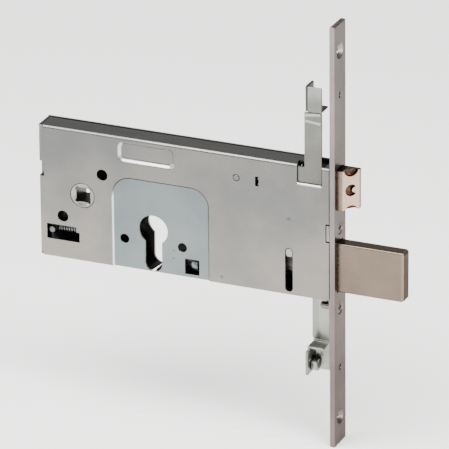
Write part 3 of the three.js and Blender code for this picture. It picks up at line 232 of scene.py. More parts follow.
def worked(piece, tools, operation="DIFFERENCE"):
    """Cuts the tools from a piece, or welds them to it, keeps the result as its mesh and clears them."""
    for tool in tools:
        step = piece.modifiers.new(tool.name, "BOOLEAN")
        step.operation = operation
        step.object = tool
        step.solver = "MANIFOLD"
    bpy.context.view_layer.update()
    shape = bpy.data.meshes.new_from_object(piece.evaluated_get(bpy.context.evaluated_depsgraph_get()))
    piece.modifiers.clear()
    piece.data = shape
    for tool in tools:
        bpy.data.objects.remove(tool)
    return piece


def smoothed(piece, angle=35):
    """Smooth shading across soft edges, led by the largest faces; edges past the angle stay crisp."""
    piece.data.shade_smooth()
    piece.data.set_sharp_from_angle(angle=math.radians(angle))
    weight = piece.modifiers.new("weighted_normals", "WEIGHTED_NORMAL")
    weight.keep_sharp = True
    return piece


def fitted(piece, material, body, slot, *nodes):
    """Gives a piece its finish and its body, and hides the CAD nodes that it stands for; the slot is not
    used. A piece that already carries finishes keeps them."""
    if material is not None:
        piece.data.materials.clear()
        piece.data.materials.append(material)
    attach(piece, body)
    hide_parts(*nodes)
    return piece


def plated(name, pale, dark, roughness, patch=28, grain=(900, 900, 60), wear=0.5, zones=(), ripple=0.2,
           edge=0.8):
    """A plated or polished metal. Colour drifts between two tones over patches of a few centimetres,
    a fine grain drawn out along one axis ripples the surface, and sparse hairlines show brighter.
    A zone (axis, start, end, tone) multiplies the colour by a tone where the place along the axis in mm
    passes smoothly from start to end, and one that starts with an attribute's name, such as
    ("panel", 0, 1, tone), does so by the attribute. The edge is the grey that glancing light keeps."""
    material = bpy.data.materials.new(name)
    material.use_nodes = True
    nodes, links = material.node_tree.nodes, material.node_tree.links
    metal = nodes["Principled BSDF"]
    metal.inputs["Metallic"].default_value = 1.0
    metal.inputs["Specular Tint"].default_value = (edge, edge, edge, 1)

    def add(kind, **settings):
        """A node of the kind, each setting written to its property or, failing that, to its socket."""
        node = nodes.new(kind)
        for key, value in settings.items():
            if hasattr(node, key):
                setattr(node, key, value)
            else:
                node.inputs[key].default_value = value
        return node

    place = add("ShaderNodeTexCoord").outputs["Object"]

    def noise(scale, detail, stretch=(1, 1, 1), rotation=(0, 0, 0)):
        """Fractal noise read at the place turned by the rotation and multiplied by the stretch."""
        mapping = add("ShaderNodeMapping", Scale=stretch, Rotation=rotation)
        links.new(place, mapping.inputs["Vector"])
        texture = add("ShaderNodeTexNoise", Scale=scale, Detail=detail, Roughness=0.55)
        links.new(mapping.outputs["Vector"], texture.inputs["Vector"])
        return texture.outputs["Fac"]

    def ranged(value, low, high, out_low, out_high):
        """The value eased from one output to the other as it passes from low to high."""
        node = add("ShaderNodeMapRange", interpolation_type="SMOOTHSTEP")
        for key, number in zip(("From Min", "From Max", "To Min", "To Max"), (low, high, out_low, out_high)):
            node.inputs[key].default_value = number
        links.new(value, node.inputs["Value"])
        return node.outputs["Result"]

    def blended(factor, first, second, kind="MIX"):
        """The first colour passing to the second as the factor goes from 0 to 1."""
        node = add("ShaderNodeMix", data_type="RGBA", blend_type=kind)
        links.new(factor, node.inputs["Factor"])
        for socket, value in zip((node.inputs[6], node.inputs[7]), (first, second)):
            if isinstance(value, tuple):
                socket.default_value = (*value, 1)
            else:
                links.new(value, socket)
        return node.outputs[2]

    def sum_of(first, second, kind="ADD"):
        """Two values added, or joined by another operation of the same kind of node."""
        node = add("ShaderNodeMath", operation=kind)
        for socket, value in zip(node.inputs, (first, second)):
            if isinstance(value, (int, float)):
                socket.default_value = value
            else:
                links.new(value, socket)
        return node.outputs["Value"]

    drift = noise(patch, 3)
    fine = noise(1, 2, grain)
    dust = noise(2600, 1)
    hairlines = [ranged(noise(1, 2, (90, 90, 3200), (0, tilt, 0.3 * tilt)), 0.66, 0.70, 0, 1)
                 for tilt in (0.5, 1.9)]
    scratch = sum_of(hairlines[0], hairlines[1], "MAXIMUM")
    scratch = sum_of(scratch, ranged(noise(60, 1), 0.45, 0.6, 0, wear), "MULTIPLY")
    colour = blended(ranged(drift, 0.32, 0.68, 0, 1), dark, pale)
    shade = blended(ranged(fine, 0.25, 0.75, 0, 1), (1 - ripple / 2,) * 3, (1.0, 1.0, 1.0))
    whole = add("ShaderNodeMix", data_type="RGBA", blend_type="MULTIPLY")
    whole.inputs["Factor"].default_value = 1
    links.new(colour, whole.inputs[6])
    links.new(shade, whole.inputs[7])
    bright = tuple(min(1.0, 1.18 * value) for value in pale)
    finish = blended(scratch, whole.outputs[2], bright)
    split = add("ShaderNodeSeparateXYZ")
    links.new(place, split.inputs[0])
    for axis, start, end, tone in zones:
        if axis not in "XYZ":
            source = add("ShaderNodeAttribute", attribute_name=axis).outputs["Fac"]
            reach = ranged(source, start, end, 0, 1)
        else:
            reach = ranged(split.outputs[axis], min(start, end) * MM, max(start, end) * MM,
                           float(start > end), float(start < end))
        toned = add("ShaderNodeMix", data_type="RGBA", blend_type="MULTIPLY")
        links.new(reach, toned.inputs["Factor"])
        links.new(finish, toned.inputs[6])
        toned.inputs[7].default_value = (*tone, 1)
        finish = toned.outputs[2]
    links.new(finish, metal.inputs["Base Color"])
    rough = ranged(drift, 0.3, 0.7, roughness + 0.05, roughness - 0.05)
    rough = sum_of(rough, ranged(dust, 0.3, 0.7, -0.05, 0.05))
    rough = sum_of(rough, ranged(fine, 0.3, 0.7, -0.04, 0.04))
    links.new(rough, metal.inputs["Roughness"])
    height = sum_of(sum_of(fine, 0.6, "MULTIPLY"), sum_of(dust, 0.4, "MULTIPLY"))
    height = sum_of(height, sum_of(scratch, 0.5, "MULTIPLY"), "SUBTRACT")
    bump = add("ShaderNodeBump", Strength=ripple, Distance=0.00004)
    links.new(height, bump.inputs["Height"])
    links.new(bump.outputs["Normal"], metal.inputs["Normal"])
    return material


def lines_at(start, end, coarse, fine, spans):
    """Places along a line, coarse but fine inside the spans, without near doubles."""
    parts = [np.arange(start, end, coarse), [end]] + [np.arange(a, b, fine) for a, b in spans]
    place = np.unique(np.concatenate(parts))
    keep = np.concatenate([[True], np.diff(place) > 0.4 * fine])
    keep[-1] = True
    return place[keep]


def step_in(x, z, x0, x1, z0, z1, radius, width):
    """0 outside a rounded rectangle and 1 inside, changing smoothly over the width of the pressed step."""
    qx = np.abs(x - (x0 + x1) / 2) - (x1 - x0) / 2 + radius
    qz = np.abs(z - (z0 + z1) / 2) - (z1 - z0) / 2 + radius
    distance = np.hypot(np.maximum(qx, 0), np.maximum(qz, 0)) + np.minimum(np.maximum(qx, qz), 0) - radius
    t = np.clip(0.25 - distance / width, 0, 1)
    return t * t * (3 - 2 * t) * 0.4 + t * 0.6


def dome(x, z, centre, radius):
    """A smooth bump of height 1: the square of one minus the squared distance over the radius."""
    reach = ((x - centre[0]) ** 2 + (z - centre[1]) ** 2) / radius ** 2
    return np.maximum(1 - reach, 0) ** 2


PANEL = (-131.5, -74, -80, 17.5, 11)
LABEL = (-127.4, -94.2, 26.8, 38.0, 3.4)
PANEL_WALL, LABEL_WALL = 1.1, 2.3
SLIDE_STUD, FLOOR_STUD = (-26.6, 9.5), (-66.4, -30.8)
PIPS = ((-95.6, -22.3), (-95.6, -26.9))


def relief(x, z):
    """How far the face lies behind the flat: the panel, the label field, two staking dimples and two pips."""
    sunk = PANEL_DEPTH * step_in(x, z, *PANEL, PANEL_WALL)
    sunk = sunk + LABEL_DEPTH * step_in(x, z, *LABEL, LABEL_WALL)
    sunk = sunk + 0.45 * dome(x, z, SLIDE_STUD, 2.4) + 0.45 * dome(x, z, FLOOR_STUD, 2.4)
    return sunk - 0.35 * dome(x, z, PIPS[0], 1.5) - 0.35 * dome(x, z, PIPS[1], 1.5)


def cover_sheet():
    """Face and top in one: a path up the face, round the fold and back along the top, carried along X.
    The sheet's two sides lie half a thickness either way along the path's normal, less near its ends."""
    face_z = lines_at(Z_FLOOR, Z_TOP - FOLD, 2.6, 0.4, ((-34.5, -20), (4.5, 19.2), (26.2, 38.8)))
    angle = np.linspace(0, np.pi / 2, 8)[1:-1]
    top_y = np.linspace(Y_COVER + FOLD, 5.7, 8)
    mid = SHEET / 2
    path_y = np.concatenate([np.full(len(face_z), Y_COVER + mid),
                             Y_COVER + FOLD - (FOLD - mid) * np.cos(angle), top_y])
    path_z = np.concatenate([face_z, Z_TOP - FOLD + (FOLD - mid) * np.sin(angle),
                             np.full(len(top_y), Z_TOP - mid)])
    normal_y = np.concatenate([np.full(len(face_z), -1.0), -np.cos(angle), np.zeros(len(top_y))])
    normal_z = np.concatenate([np.zeros(len(face_z)), np.sin(angle), np.ones(len(top_y))])
    x = lines_at(X_REAR + FOLD, X_END, 2.6, 0.45,
                 ((-133, -119), (-86, -72.5), (-98.5, -93), (-29.5, -23.5), (-69.5, -63.5),
                  (X_END - 0.3, X_END)))
    edge = 0.3
    inside = np.minimum(X_END - x, edge) / edge
    half = (mid - edge * (1 - np.sqrt(1 - (1 - inside) ** 2)))[:, None]
    on_face = (np.arange(len(path_z)) < len(face_z))[None]
    sunk = relief(x[:, None], path_z[None]) * on_face
    rim = np.minimum(np.arange(len(path_z)), np.arange(len(path_z))[::-1])[None]
    half = half * np.where(rim == 0, 0.6, 1.0)
    outer = np.stack([np.broadcast_to(x[:, None], sunk.shape), path_y + sunk + half * normal_y,
                      path_z + half * normal_z], -1)
    inner = np.stack([np.broadcast_to(x[:, None], sunk.shape), path_y + sunk - half * normal_y,
                      path_z - half * normal_z], -1)
    return skin("front_cover_pressing", np.concatenate([outer, inner[:, ::-1]], 1))


def rear_flange():
    """The rear wall with its fold: an L in plan with rounded corners, carried up the case."""
    x_in = X_REAR + SHEET
    corners = [(X_REAR + FOLD + 1, Y_COVER + 0.01), (X_REAR, Y_COVER + 0.01), (X_REAR, 5.7), (x_in, 5.7),
               (x_in, Y_COVER_IN), (X_REAR + FOLD + 1, Y_COVER_IN - 0.01)]
    outline = rounded(corners, [0.01, FOLD, 0.3, 0.3, 0.5, 0.01], 7)
    return carried("rear_flange", outline, eased(-34.4, Z_TOP - 0.05, 0.3), "z")


def euro_outline(margin=0.0):
    """The euro profile: the plug's circle down to where the slot leaves it, and the slot's round foot."""
    half, radius = 5 + margin, 8.5 + margin
    foot = CYLINDER[1] - 24.5 + 5
    leave = math.asin(half / radius)
    plug = np.linspace(-np.pi / 2 + leave, 1.5 * np.pi - leave, 44)
    slot = np.linspace(np.pi, 2 * np.pi, 22)
    x = np.concatenate([CYLINDER[0] + radius * np.cos(plug), CYLINDER[0] + half * np.cos(slot)])
    z = np.concatenate([CYLINDER[1] + radius * np.sin(plug), foot + half * np.sin(slot)])
    return np.stack([x, z], -1)


panel_face, panel_in = Y_COVER + PANEL_DEPTH, Y_COVER_IN + PANEL_DEPTH
cover_holes = [
    punch("cylinder_hole", euro_outline(), panel_face, panel_in, 0.25),
    punch("spindle_hole", circle(*SPINDLE, 7.25), Y_COVER, Y_COVER_IN, 0.25),
    punch("rose_hole_upper", circle(-137.3, 16.7, 3.2, 36), Y_COVER, Y_COVER_IN, 0.25),
    punch("rose_hole_lower", circle(-161.3, -11.3, 3.2, 36), Y_COVER, Y_COVER_IN, 0.25),
    punch("escutcheon_hole_rear", circle(-124.7, -19.1, 2.65, 32), panel_face, panel_in, 0.22),
    punch("escutcheon_hole_front", circle(-90.3, -19.1, 2.65, 32), panel_face, panel_in, 0.22),
    punch("spring_window", rounded([(-171, -25.7), (-151.5, -25.7), (-151.5, -19.9), (-153.5, -19.9),
                                    (-153.5, -16.9), (-171, -16.9)], 0.35), Y_COVER, Y_COVER_IN, 0.22),
    punch("screw_window", box_outline(-88.8, -80.4, -34.3, -25.3, 0.5), panel_face, panel_in, 0.25),
    punch("lug_slot", rounded([(-29.2, -34.3), (-24.8, -34.3), (-24.8, -8.8), (-29.2, -8.8)], 2.19, 10),
          Y_COVER, Y_COVER_IN, 0.25),
    punch("lug_slit", box_outline(-46.5, -44.5, 24.5, 30.1, 0.35), Y_COVER, Y_COVER_IN, 0.2),
    punch("rivet_hole", circle(-57.6, 27.7, 2.0, 28), Y_COVER, Y_COVER_IN, 0.15),
    punch("bar_notch", box_outline(-22.2, -7.9, 30.3, 60, 0.9), Y_COVER, -4.4, 0.9),
    punch("top_gap", box_outline(-14, -6.5, Y_COVER_IN, 12, 0.3), 38.6, Z_TOP, 0.2, "z"),
    punch("tab_notch", box_outline(-5.5, 4, -2.1, 8.7, 0.4), Y_COVER, Y_COVER_IN, 0.2),
    punch("rear_notch", box_outline(-180, -172.2, 10.9, 19.7, 0.4), Y_COVER - 1, Y_COVER_IN - 0.3, 0.1),
]
# Painted light on the cover's zinc: it is toned darker and cooler towards the top as painted shade. After the
# panel's own tint, two attribute zones darken the panel's upper step as painted shade and brighten the walls,
# the rod notch's foot and the fold as painted highlights.
zinc_pressed = plated("zinc_pressed", (0.228, 0.213, 0.194), (0.18, 0.178, 0.169), 0.33, 26, (60, 500, 900),
                      zones=(("Z", -34, 38, (0.70, 0.73, 0.76)), ("panel", 0, 1, (0.86, 1.03, 1.12)),
                             ("groove_shade", 0, 1, (0.30, 0.29, 0.28)), ("painted_highlight", 0, 1, (3.8, 3.9, 4.1))),
                      ripple=0.1, edge=0.75)


def panel_tint_and_painted_light(x, y, z):
    """The panel's tint and the painted light on the pressing, each from 0 to 1. The panel is its own step.
    The painted groove shade and the painted highlight on a wall are four times a step times one minus the
    step, so they peak halfway down. The painted groove shade lies on the panel's step from its middle upward.
    The painted highlight lies on the label's walls, the panel's left wall below its arc, the rod notch's foot
    and, faintly, the fold along the top."""
    in_panel = step_in(x, z, *PANEL, PANEL_WALL) * (y < Y_COVER + PANEL_DEPTH + 0.3)
    in_label = step_in(x, z, *LABEL, LABEL_WALL) * (y < Y_COVER + LABEL_DEPTH + 0.3)
    # Painted shade on the panel's step, from its middle upward.
    painted_groove_shade = 4 * in_panel * (1 - in_panel) * np.clip((z - 5) / 8, 0, 1)
    # Painted highlights: fully on the label's left and bottom walls and faintly on its other walls, on the
    # panel's left wall below its arc, on the rod notch's foot and, faintly, on the fold.
    lit_side = (x < LABEL[0] + 2.2) | (z < LABEL[2] + 2.2)
    on_walls = 4 * in_label * (1 - in_label) * np.where(lit_side, 1, 0.3)
    on_walls += 4 * in_panel * (1 - in_panel) * (x < PANEL[0] + 1.2) * np.clip((9 - z) / 4, 0, 1)
    on_foot = (np.abs(z - 29.9) < 0.75) & (np.abs(x + 15) < 7) & (y < Y_COVER_IN)
    on_fold = np.clip((z - 39.9) / 0.4, 0, 1) * np.clip((-6.8 - y) / 0.2, 0, 1) * 0.3
    return {"panel": in_panel, "groove_shade": painted_groove_shade, "painted_highlight": np.clip(on_walls + on_foot + on_fold, 0, 1)}


cover = worked(cover_sheet(), [rear_flange()], "UNION")
cover = worked(cover, cover_holes)
corner = np.empty(len(cover.data.vertices) * 3, np.float32)
cover.data.vertices.foreach_get("co", corner)
corner = corner.reshape(-1, 3) / MM
# The panel's tint and the masks of painted shade and painted highlight are stored on the cover's points.
for attribute, value in panel_tint_and_painted_light(*corner.T).items():
    cover.data.attributes.new(attribute, "FLOAT", "POINT").data.foreach_set("value", value.astype(np.float32))
smoothed(cover)
fitted(cover, zinc_pressed, "case", "zinc_sheet", "front_cover")

# ------------------------------------------------------------------ case back and end plate
# The back and the floor of the case are one folded plate, 1.5 mm at the back. The end plate behind
# the forend is 2 mm steel with a tab in the cover's edge and a neck out through the floor.


def softened(node, edge, material, body, slot, name=None):
    """A copy of a CAD node made one closed skin: doubles merged, flat faces joined, and every edge
    sharper than 30 degrees rounded over by a bevel of the edge width given in mm."""
    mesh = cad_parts[node].data.copy()
    shape = bmesh.new()
    shape.from_mesh(mesh)
    bmesh.ops.remove_doubles(shape, verts=shape.verts, dist=2e-6)
    bmesh.ops.dissolve_limit(shape, angle_limit=math.radians(0.8), verts=shape.verts, edges=shape.edges)
    shape.to_mesh(mesh)
    shape.free()
    piece = bpy.data.objects.new(name or node + "_finished", mesh)
    bpy.context.scene.collection.objects.link(piece)
    mesh.shade_smooth()
    bevel = piece.modifiers.new("eased_edges", "BEVEL")
    bevel.width = edge * MM
    bevel.segments = 2
    bevel.limit_method = "ANGLE"
    bevel.angle_limit = math.radians(30)
    bevel.use_clamp_overlap = True
    bevel.harden_normals = True
    return fitted(piece, material, body, slot, node)


zinc_plain = plated("zinc_plain", (0.226, 0.219, 0.208), (0.171, 0.171, 0.168), 0.38, 24, (500, 60, 900),
                    ripple=0.12)
# Painted shade: the case back's zinc is darkened nearly to black wherever it lies in front of y = 6.1 mm,
# which takes in the back plate's inner face and the floor.
zinc_painted_inner_shade = plated("zinc_painted_inner_shade", (0.226, 0.219, 0.208), (0.171, 0.171, 0.168), 0.38, 24, (60, 500, 900),
                    zones=(("Y", 6.4, 6.1, (0.16, 0.16, 0.15)),), ripple=0.12)
softened("case_back", 0.25, zinc_painted_inner_shade, "case", "zinc_sheet")
softened("end_plate", 0.2, zinc_plain, "case", "zinc_sheet")

# ------------------------------------------------------------------ studs
# Turned steel pins hold the two sheets apart, guide the front slide and the draw bar. Their ends are
# staked, which leaves a small dome.

dull_steel = plated("dull_steel", (0.17, 0.17, 0.17), (0.105, 0.105, 0.11), 0.40, 60, (900, 40, 900))
for stud in ("case_stud_1", "case_stud_2", "case_stud_3", "case_stud_4", "slide_guide_stud",
             "latch_guide_stud", "follower_spring_post", "bolt_guide_post_1", "bolt_guide_post_2"):
    low, high = (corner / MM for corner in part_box(stud))
    middle = (low + high) / 2
    radius = (high.x - low.x) / 2
    pin = carried(stud + "_turned", circle(middle.x, middle.z, radius, 40),
                  [(low.y, -0.9 * radius), (low.y, -0.45 * radius),
                   *eased(low.y + 0.08, high.y - 0.08, 0.35)], "y")
    fitted(smoothed(pin), dull_steel, "case", "steel", stud)

# ------------------------------------------------------------------ forend
# The forend is a 3 mm strip of nickel-plated steel with eased long edges, drilled and countersunk
# for its wood screws, its two fixing screws and two pins, and cut for the deadbolt and the latch.

HALF = 122.5
forend_outline = rounded([(-3, -8), (0, -8), (0, 8), (-3, 8)], [0.3, 0.55, 0.55, 0.3])
forend = carried("forend_strip", forend_outline, eased(-HALF, HALF, 0.4), "z")


def countersink(name, y, z, radius, head):
    """The tool for a countersunk hole along X: the bore, a 90 degree cone, and a small eased mouth."""
    depth = head - radius
    stations = [(-6, 0), (-depth, 0), (-0.12, depth - 0.12), (0, depth + 0.12), (2, depth + 0.12)]
    return carried(name, circle(y, z, radius, 40), stations, "x")


Y_BOLT = -0.15
BOLT_LOW, BOLT_HIGH = -31.6, -3.0
LATCH_LOW, LATCH_HIGH = 16.5, 39.3
forend_tools = [
    countersink("wood_screw_top", 0, 107, 2.6, 4.6),
    countersink("wood_screw_foot", 0, -107, 2.6, 4.6),
    countersink("fixing_upper", Y_BOLT, 4.9, 2.3, 4.0),
    countersink("fixing_lower", Y_BOLT, -42.1, 2.3, 4.0),
    punch("pin_upper", circle(0, 81.8, 1.7, 28), -3, 0, 0.5, "x"),
    punch("pin_lower", circle(0, -77.4, 1.7, 28), -3, 0, 0.5, "x"),
    punch("bolt_opening", box_outline(-4.55, 4.25, BOLT_LOW - 0.4, BOLT_HIGH + 0.4, 0.7), -3, 0, 0.25, "x"),
    punch("latch_opening", box_outline(-4.9, 5.5, LATCH_LOW - 0.4, LATCH_HIGH + 0.4, 0.4), -3, 0, 0.25, "x"),
]
# Painted shade on the forend's nickel: the outer face (x above -0.1 mm) is darker, and the strip grows darker
# from z 60 mm down to its foot.
nickel_strip = plated("nickel_strip", (0.238, 0.198, 0.203), (0.195, 0.162, 0.165), 0.30, 30, (900, 900, 26),
                      zones=(("X", -0.3, -0.1, (0.65, 0.68, 0.60)), ("Z", 60, -115, (0.70, 0.66, 0.63))),
                      edge=0.6)
fitted(smoothed(worked(forend, forend_tools)), nickel_strip, "case", "nickel_forend", "forend")

for place, height in (("upper", 4.9), ("lower", -42.1)):
    outline = circle(Y_BOLT, height, 2.0, 40)
    screw = carried("forend_screw_" + place + "_turned", outline,
                    [(-11, -0.6), (-10.6, 0), (-1.9, 0), (-0.62, 1.3), (-0.45, 1.35), (-0.2, 0.7),
                     (-0.12, -0.4)], "x")
    cross = []
    for side, (a, b) in enumerate(((2.2, 0.5), (0.5, 2.2))):
        bar = rounded([(Y_BOLT - a, height - b), (Y_BOLT + a, height - b),
                       (Y_BOLT + a, height + b), (Y_BOLT - a, height + b)], 0.2)
        cross.append(carried("recess_" + place + str(side), bar, [(-1.6, -0.3), (-1.3, -0.1), (0.5, 0.1)],
                             "x"))
    fitted(smoothed(worked(screw, cross)), nickel_strip, "case", "nickel_forend", "forend_screw_" + place)

# ------------------------------------------------------------------ deadbolt
# The bolt's head is an 8 mm nickel-plated block with chamfered edges, slit from behind for the tail.
# The tail is a 3 mm steel plate with the rack, the cam's teeth and the tumbler's steps, held by two rivets.

# Painted light on the bolt's nickel: a painted highlight on the chamfer band from x 37.1 mm, painted shade on
# the end face past x 38.45 mm and a faint painted shade on the top face above z -3.1 mm.
nickel_block = plated("nickel_block", (0.158, 0.121, 0.096), (0.138, 0.106, 0.085), 0.30, 34, (26, 900, 900),
                      zones=(("X", 36.7, 37.1, (1.3, 1.27, 1.22)), ("X", 38.2, 38.45, (0.24, 0.22, 0.20)),
                             ("Z", -3.4, -3.1, (0.95, 0.93, 0.90))),
                      ripple=0.08, edge=0.6)
black_steel = plated("black_steel", (0.10, 0.10, 0.10), (0.05, 0.05, 0.05), 0.45, 60, (900, 900, 900))
Y_BOLT_FRONT, Y_BOLT_BACK = -4.15, 3.85
head_outline = box_outline(Y_BOLT_FRONT, Y_BOLT_BACK, BOLT_LOW, BOLT_HIGH, 0.95, 5)
head = carried("deadbolt_block", head_outline,
               [(-22, -0.3), (-21.7, 0), (37.1, 0), (37.4, -0.1), (38.3, -0.72), (38.5, -0.9), (38.6, -1.15)],
               "x")
head_tools = [carried("tail_slit", box_outline(-1.95, 1.65, -24.3, 5, 0.2), [(-30, 0), (-7.7, 0)], "x"),
              punch("rivet_seat_1", circle(-15, -9, 2.3, 32), Y_BOLT_FRONT, Y_BOLT_BACK, 0.15),
              punch("rivet_seat_2", circle(-15, -20, 2.3, 32), Y_BOLT_FRONT, Y_BOLT_BACK, 0.15)]
fitted(smoothed(worked(head, head_tools)), nickel_block, "deadbolt", "nickel_bolt", "deadbolt_head")
softened("bolt_tail", 0.15, black_steel, "deadbolt", "steel")
for rivet in ("bolt_rivet_1", "bolt_rivet_2"):
    softened(rivet, 0.5, dull_steel, "deadbolt", "steel")

# ------------------------------------------------------------------ rod gear
# One stepped steel gear turns on a pressed-in axle: nineteen teeth on the bolt's rack, and ten teeth
# before and behind on the racks of the two slides.

softened("rod_pinion", 0.08, dull_steel, "rod_gear", "steel")
softened("pinion_axle", 0.25, dull_steel, "case", "steel")

# ------------------------------------------------------------------ upper rod slide
# The front slide is a 1.2 mm zinc-plated plate whose bar leaves through the case's top. The hook on
# its end is folded from the same sheet: a strip, a web turned back at its left and a shelf at its foot.

SLIDE_FRONT, SLIDE_BACK = -6.0, -4.8
# Painted light on the front slide's zinc: a painted highlight lightens the hook's strip from z 76 to 84 mm
# and, more strongly, the two creases where they stand over 0.2 mm proud of the face. Below z 48 mm the bar is
# toned darker and warmer.
zinc_olive = plated("zinc_olive", (0.172, 0.177, 0.160), (0.132, 0.137, 0.124), 0.35, 40, (700, 700, 40),
                    zones=(("Z", 62, 48, (0.80, 0.755, 0.76)), ("Z", 76, 84, (1.55, 1.57, 1.6)),
                           ("Y", SLIDE_FRONT - 0.08, SLIDE_FRONT - 0.2, (2.2, 2.2, 2.2))), ripple=0.15)
# The slide's zinc painted dark, as painted shade, for the hook's web and shelf.
zinc_painted_shade = plated("zinc_painted_shade", (0.09, 0.09, 0.082), (0.06, 0.06, 0.056), 0.42, 60, (700, 700, 40))


def crease(name, low, high, width, rise):
    """A rounded crease pressed out of the bar's face between two places (x, z): a half oval of the given
    width and rise carried from one to the other, sunk into the sheet behind."""
    length = math.hypot(high[0] - low[0], high[1] - low[1])
    angle = np.linspace(0, 2 * np.pi, 20, endpoint=False)
    oval = np.stack([rise * np.cos(angle), width / 2 * np.sin(angle)], -1)
    ridge = carried(name, oval, eased(0, length, 0.2), "x")
    lean = math.atan2(high[1] - low[1], high[0] - low[0])
    ridge.data.transform(Matrix.Translation(Vector((low[0], SLIDE_FRONT, low[1])) * MM)
                         @ Matrix.Rotation(-lean, 4, "Y"))
    return ridge


upper_slide = softened("upper_slide", 0.2, zinc_olive, "upper_rod", "zinc_fittings")
worked(upper_slide, [crease("crease_top", (-17.9, 69.3), (-8.7, 70.6), 1.3, 0.42),
                     crease("crease_low", (-17.9, 66.2), (-8.7, 65.2), 1.5, 0.40)], "UNION")
smoothed(upper_slide)

hook_strip = carried("upper_hook_strip", box_outline(-16.4, -8.3, SLIDE_FRONT, SLIDE_BACK, 0.3),
                     eased(71.5, 86, 0.35), "z")
hook_tongue = carried("upper_hook_tongue", box_outline(-16.6, -15.5, SLIDE_BACK - 0.6, -3.4, 0.2),
                      eased(71.6, 85.8, 0.25), "z")
fitted(smoothed(worked(hook_strip, [hook_tongue], "UNION")), zinc_olive, "upper_rod", "zinc_fittings",
       "upper_rod_hook")
# The web and its shelf carry painted shade: the dark copy of the slide's zinc.
hook_web = carried("upper_hook_web", box_outline(-18.0, -16.6, -5.1, 3.9, 0.3), eased(71.5, 86, 0.3), "z")
hook_shelf = carried("upper_hook_shelf", box_outline(-17.8, -8.4, -4.6, 3.8, 0.35), eased(71.6, 72.6, 0.25),
                     "z")
fitted(smoothed(worked(hook_web, [hook_shelf], "UNION")), zinc_painted_shade, "upper_rod", "zinc_fittings")

# ------------------------------------------------------------------ lower rod slide
# The back slide has its rack on the gear's other side, so it moves the other way. Its hook has a
# shelf bent forward and a cheek bent down from it, with a hexagon-headed screw through the cheek.

# Painted shade: the lower slide, its hook and its screw are darker left of x -14.6 mm, the shaded side of the
# bar's fold line.
zinc_warm = plated("zinc_warm", (0.285, 0.298, 0.262), (0.22, 0.232, 0.203), 0.32, 40, (700, 700, 40),
                   zones=(("X", -14.0, -14.6, (0.80, 0.82, 0.82)),), ripple=0.15)
softened("lower_slide", 0.2, zinc_warm, "lower_rod", "zinc_fittings")
softened("lower_rod_hook", 0.3, zinc_warm, "lower_rod", "zinc_fittings")
softened("lower_hook_screw", 0.25, zinc_warm, "lower_rod", "zinc_fittings")

# ------------------------------------------------------------------ latch
# The latch head is nickel-plated, bevelled on the cover's side, with three finger-shaped scoops in the
# bevel. Behind it a round shank runs through a coil spring and the draw bar's lug to a collar.

# Painted light on the latch's nickel: painted shade on the flat front (x below 2.95 mm), near-black painted
# shade on all of it behind the forend (x below -3.4 mm), and painted shade on the top face (z above 39.25 mm)
# and on the tip's end (x past 10.25 mm).
nickel_rose = plated("nickel_rose", (0.46, 0.335, 0.27), (0.385, 0.275, 0.22), 0.27, 40, (900, 900, 40),
                     zones=(("X", 3.25, 2.95, (0.50, 0.49, 0.48)), ("X", -2.6, -3.4, (0.12, 0.12, 0.12)),
                            ("Z", 39.15, 39.25, (0.25, 0.22, 0.2)), ("X", 10.1, 10.25, (0.5, 0.52, 0.55))),
                     ripple=0.12)
# Near-black brown: painted shade for the walls of the latch's three scoops.
nickel_scoop_painted_shade = plated("nickel_scoop_painted_shade", (0.09, 0.05, 0.033), (0.03, 0.016, 0.01), 0.30, 200, (900, 900, 200))
Y_LATCH, Y_LATCH_BACK = -4.5, 5.1
latch_plan = rounded([(-18, Y_LATCH), (3.2, Y_LATCH), (10.3, 2.6), (10.3, Y_LATCH_BACK), (-18, Y_LATCH_BACK)],
                     [0.3, 0.9, 0.6, 0.6, 0.3], 7)
latch = carried("latch_head_bevelled", latch_plan, eased(LATCH_LOW, LATCH_HIGH, 0.3), "z")
shank = carried("latch_shank", circle(0.3, 35.4, 2.6, 40), [(-51.2, -0.5), (-50.7, 0), (-17, 0)], "x")
latch = worked(latch, [shank], "UNION")
BEVEL = math.atan2(2.6 - Y_LATCH, 10.3 - 3.2)


def scoop(name, outline, depth):
    """A tool square to the bevel: its outline flares at the surface and narrows to the scoop's floor."""
    tool = carried(name, outline, [(-4, 0.35), (0, 0.12), (0.12, 0), (depth, -0.3), (depth + 0.3, -0.9)], "y")
    middle = Vector(((3.2 + 10.3) / 2, (Y_LATCH + 2.6) / 2, 0)) * MM
    tool.data.transform(Matrix.Translation(middle) @ Matrix.Rotation(BEVEL, 4, "Z"))
    # The tool's faces take the second finish, so the scoop's walls carry painted shade.
    tool.data.materials.append(nickel_rose)
    tool.data.materials.append(nickel_scoop_painted_shade)
    tool.data.polygons.foreach_set("material_index", np.ones(len(tool.data.polygons), np.int32))
    return tool


def crescent(z, radius, boss_x, boss):
    """A C open towards the bolt's tip: an arc of the scoop's circle, closed round a boss that is left
    standing."""
    outer = np.radians(np.linspace(38, 322, 34))
    inner = np.radians(np.linspace(262, 98, 16))
    return np.concatenate([np.stack([radius * np.cos(outer), z + radius * np.sin(outer)], -1),
                           np.stack([boss_x + boss * np.cos(inner), z + boss * np.sin(inner)], -1)])


latch.data.materials.clear()
latch.data.materials.append(nickel_rose)
latch.data.materials.append(nickel_scoop_painted_shade)
latch_middle = (LATCH_LOW + LATCH_HIGH) / 2
latch = worked(latch, [scoop("scoop_top", circle(0, LATCH_HIGH + 0.9, 4.2, 40), 2.2),
                       scoop("scoop_middle", crescent(latch_middle, 3.3, 1.9, 1.45), 1.9),
                       scoop("scoop_foot", circle(0, LATCH_LOW - 1.6, 4.2, 40), 2.2)])
fitted(smoothed(latch), None, "latch", "nickel_latch", "latch_head")
softened("latch_collar", 0.2, dull_steel, "latch", "steel")
softened("latch_draw_bar", 0.2, zinc_plain, "draw_bar", "zinc_fittings")


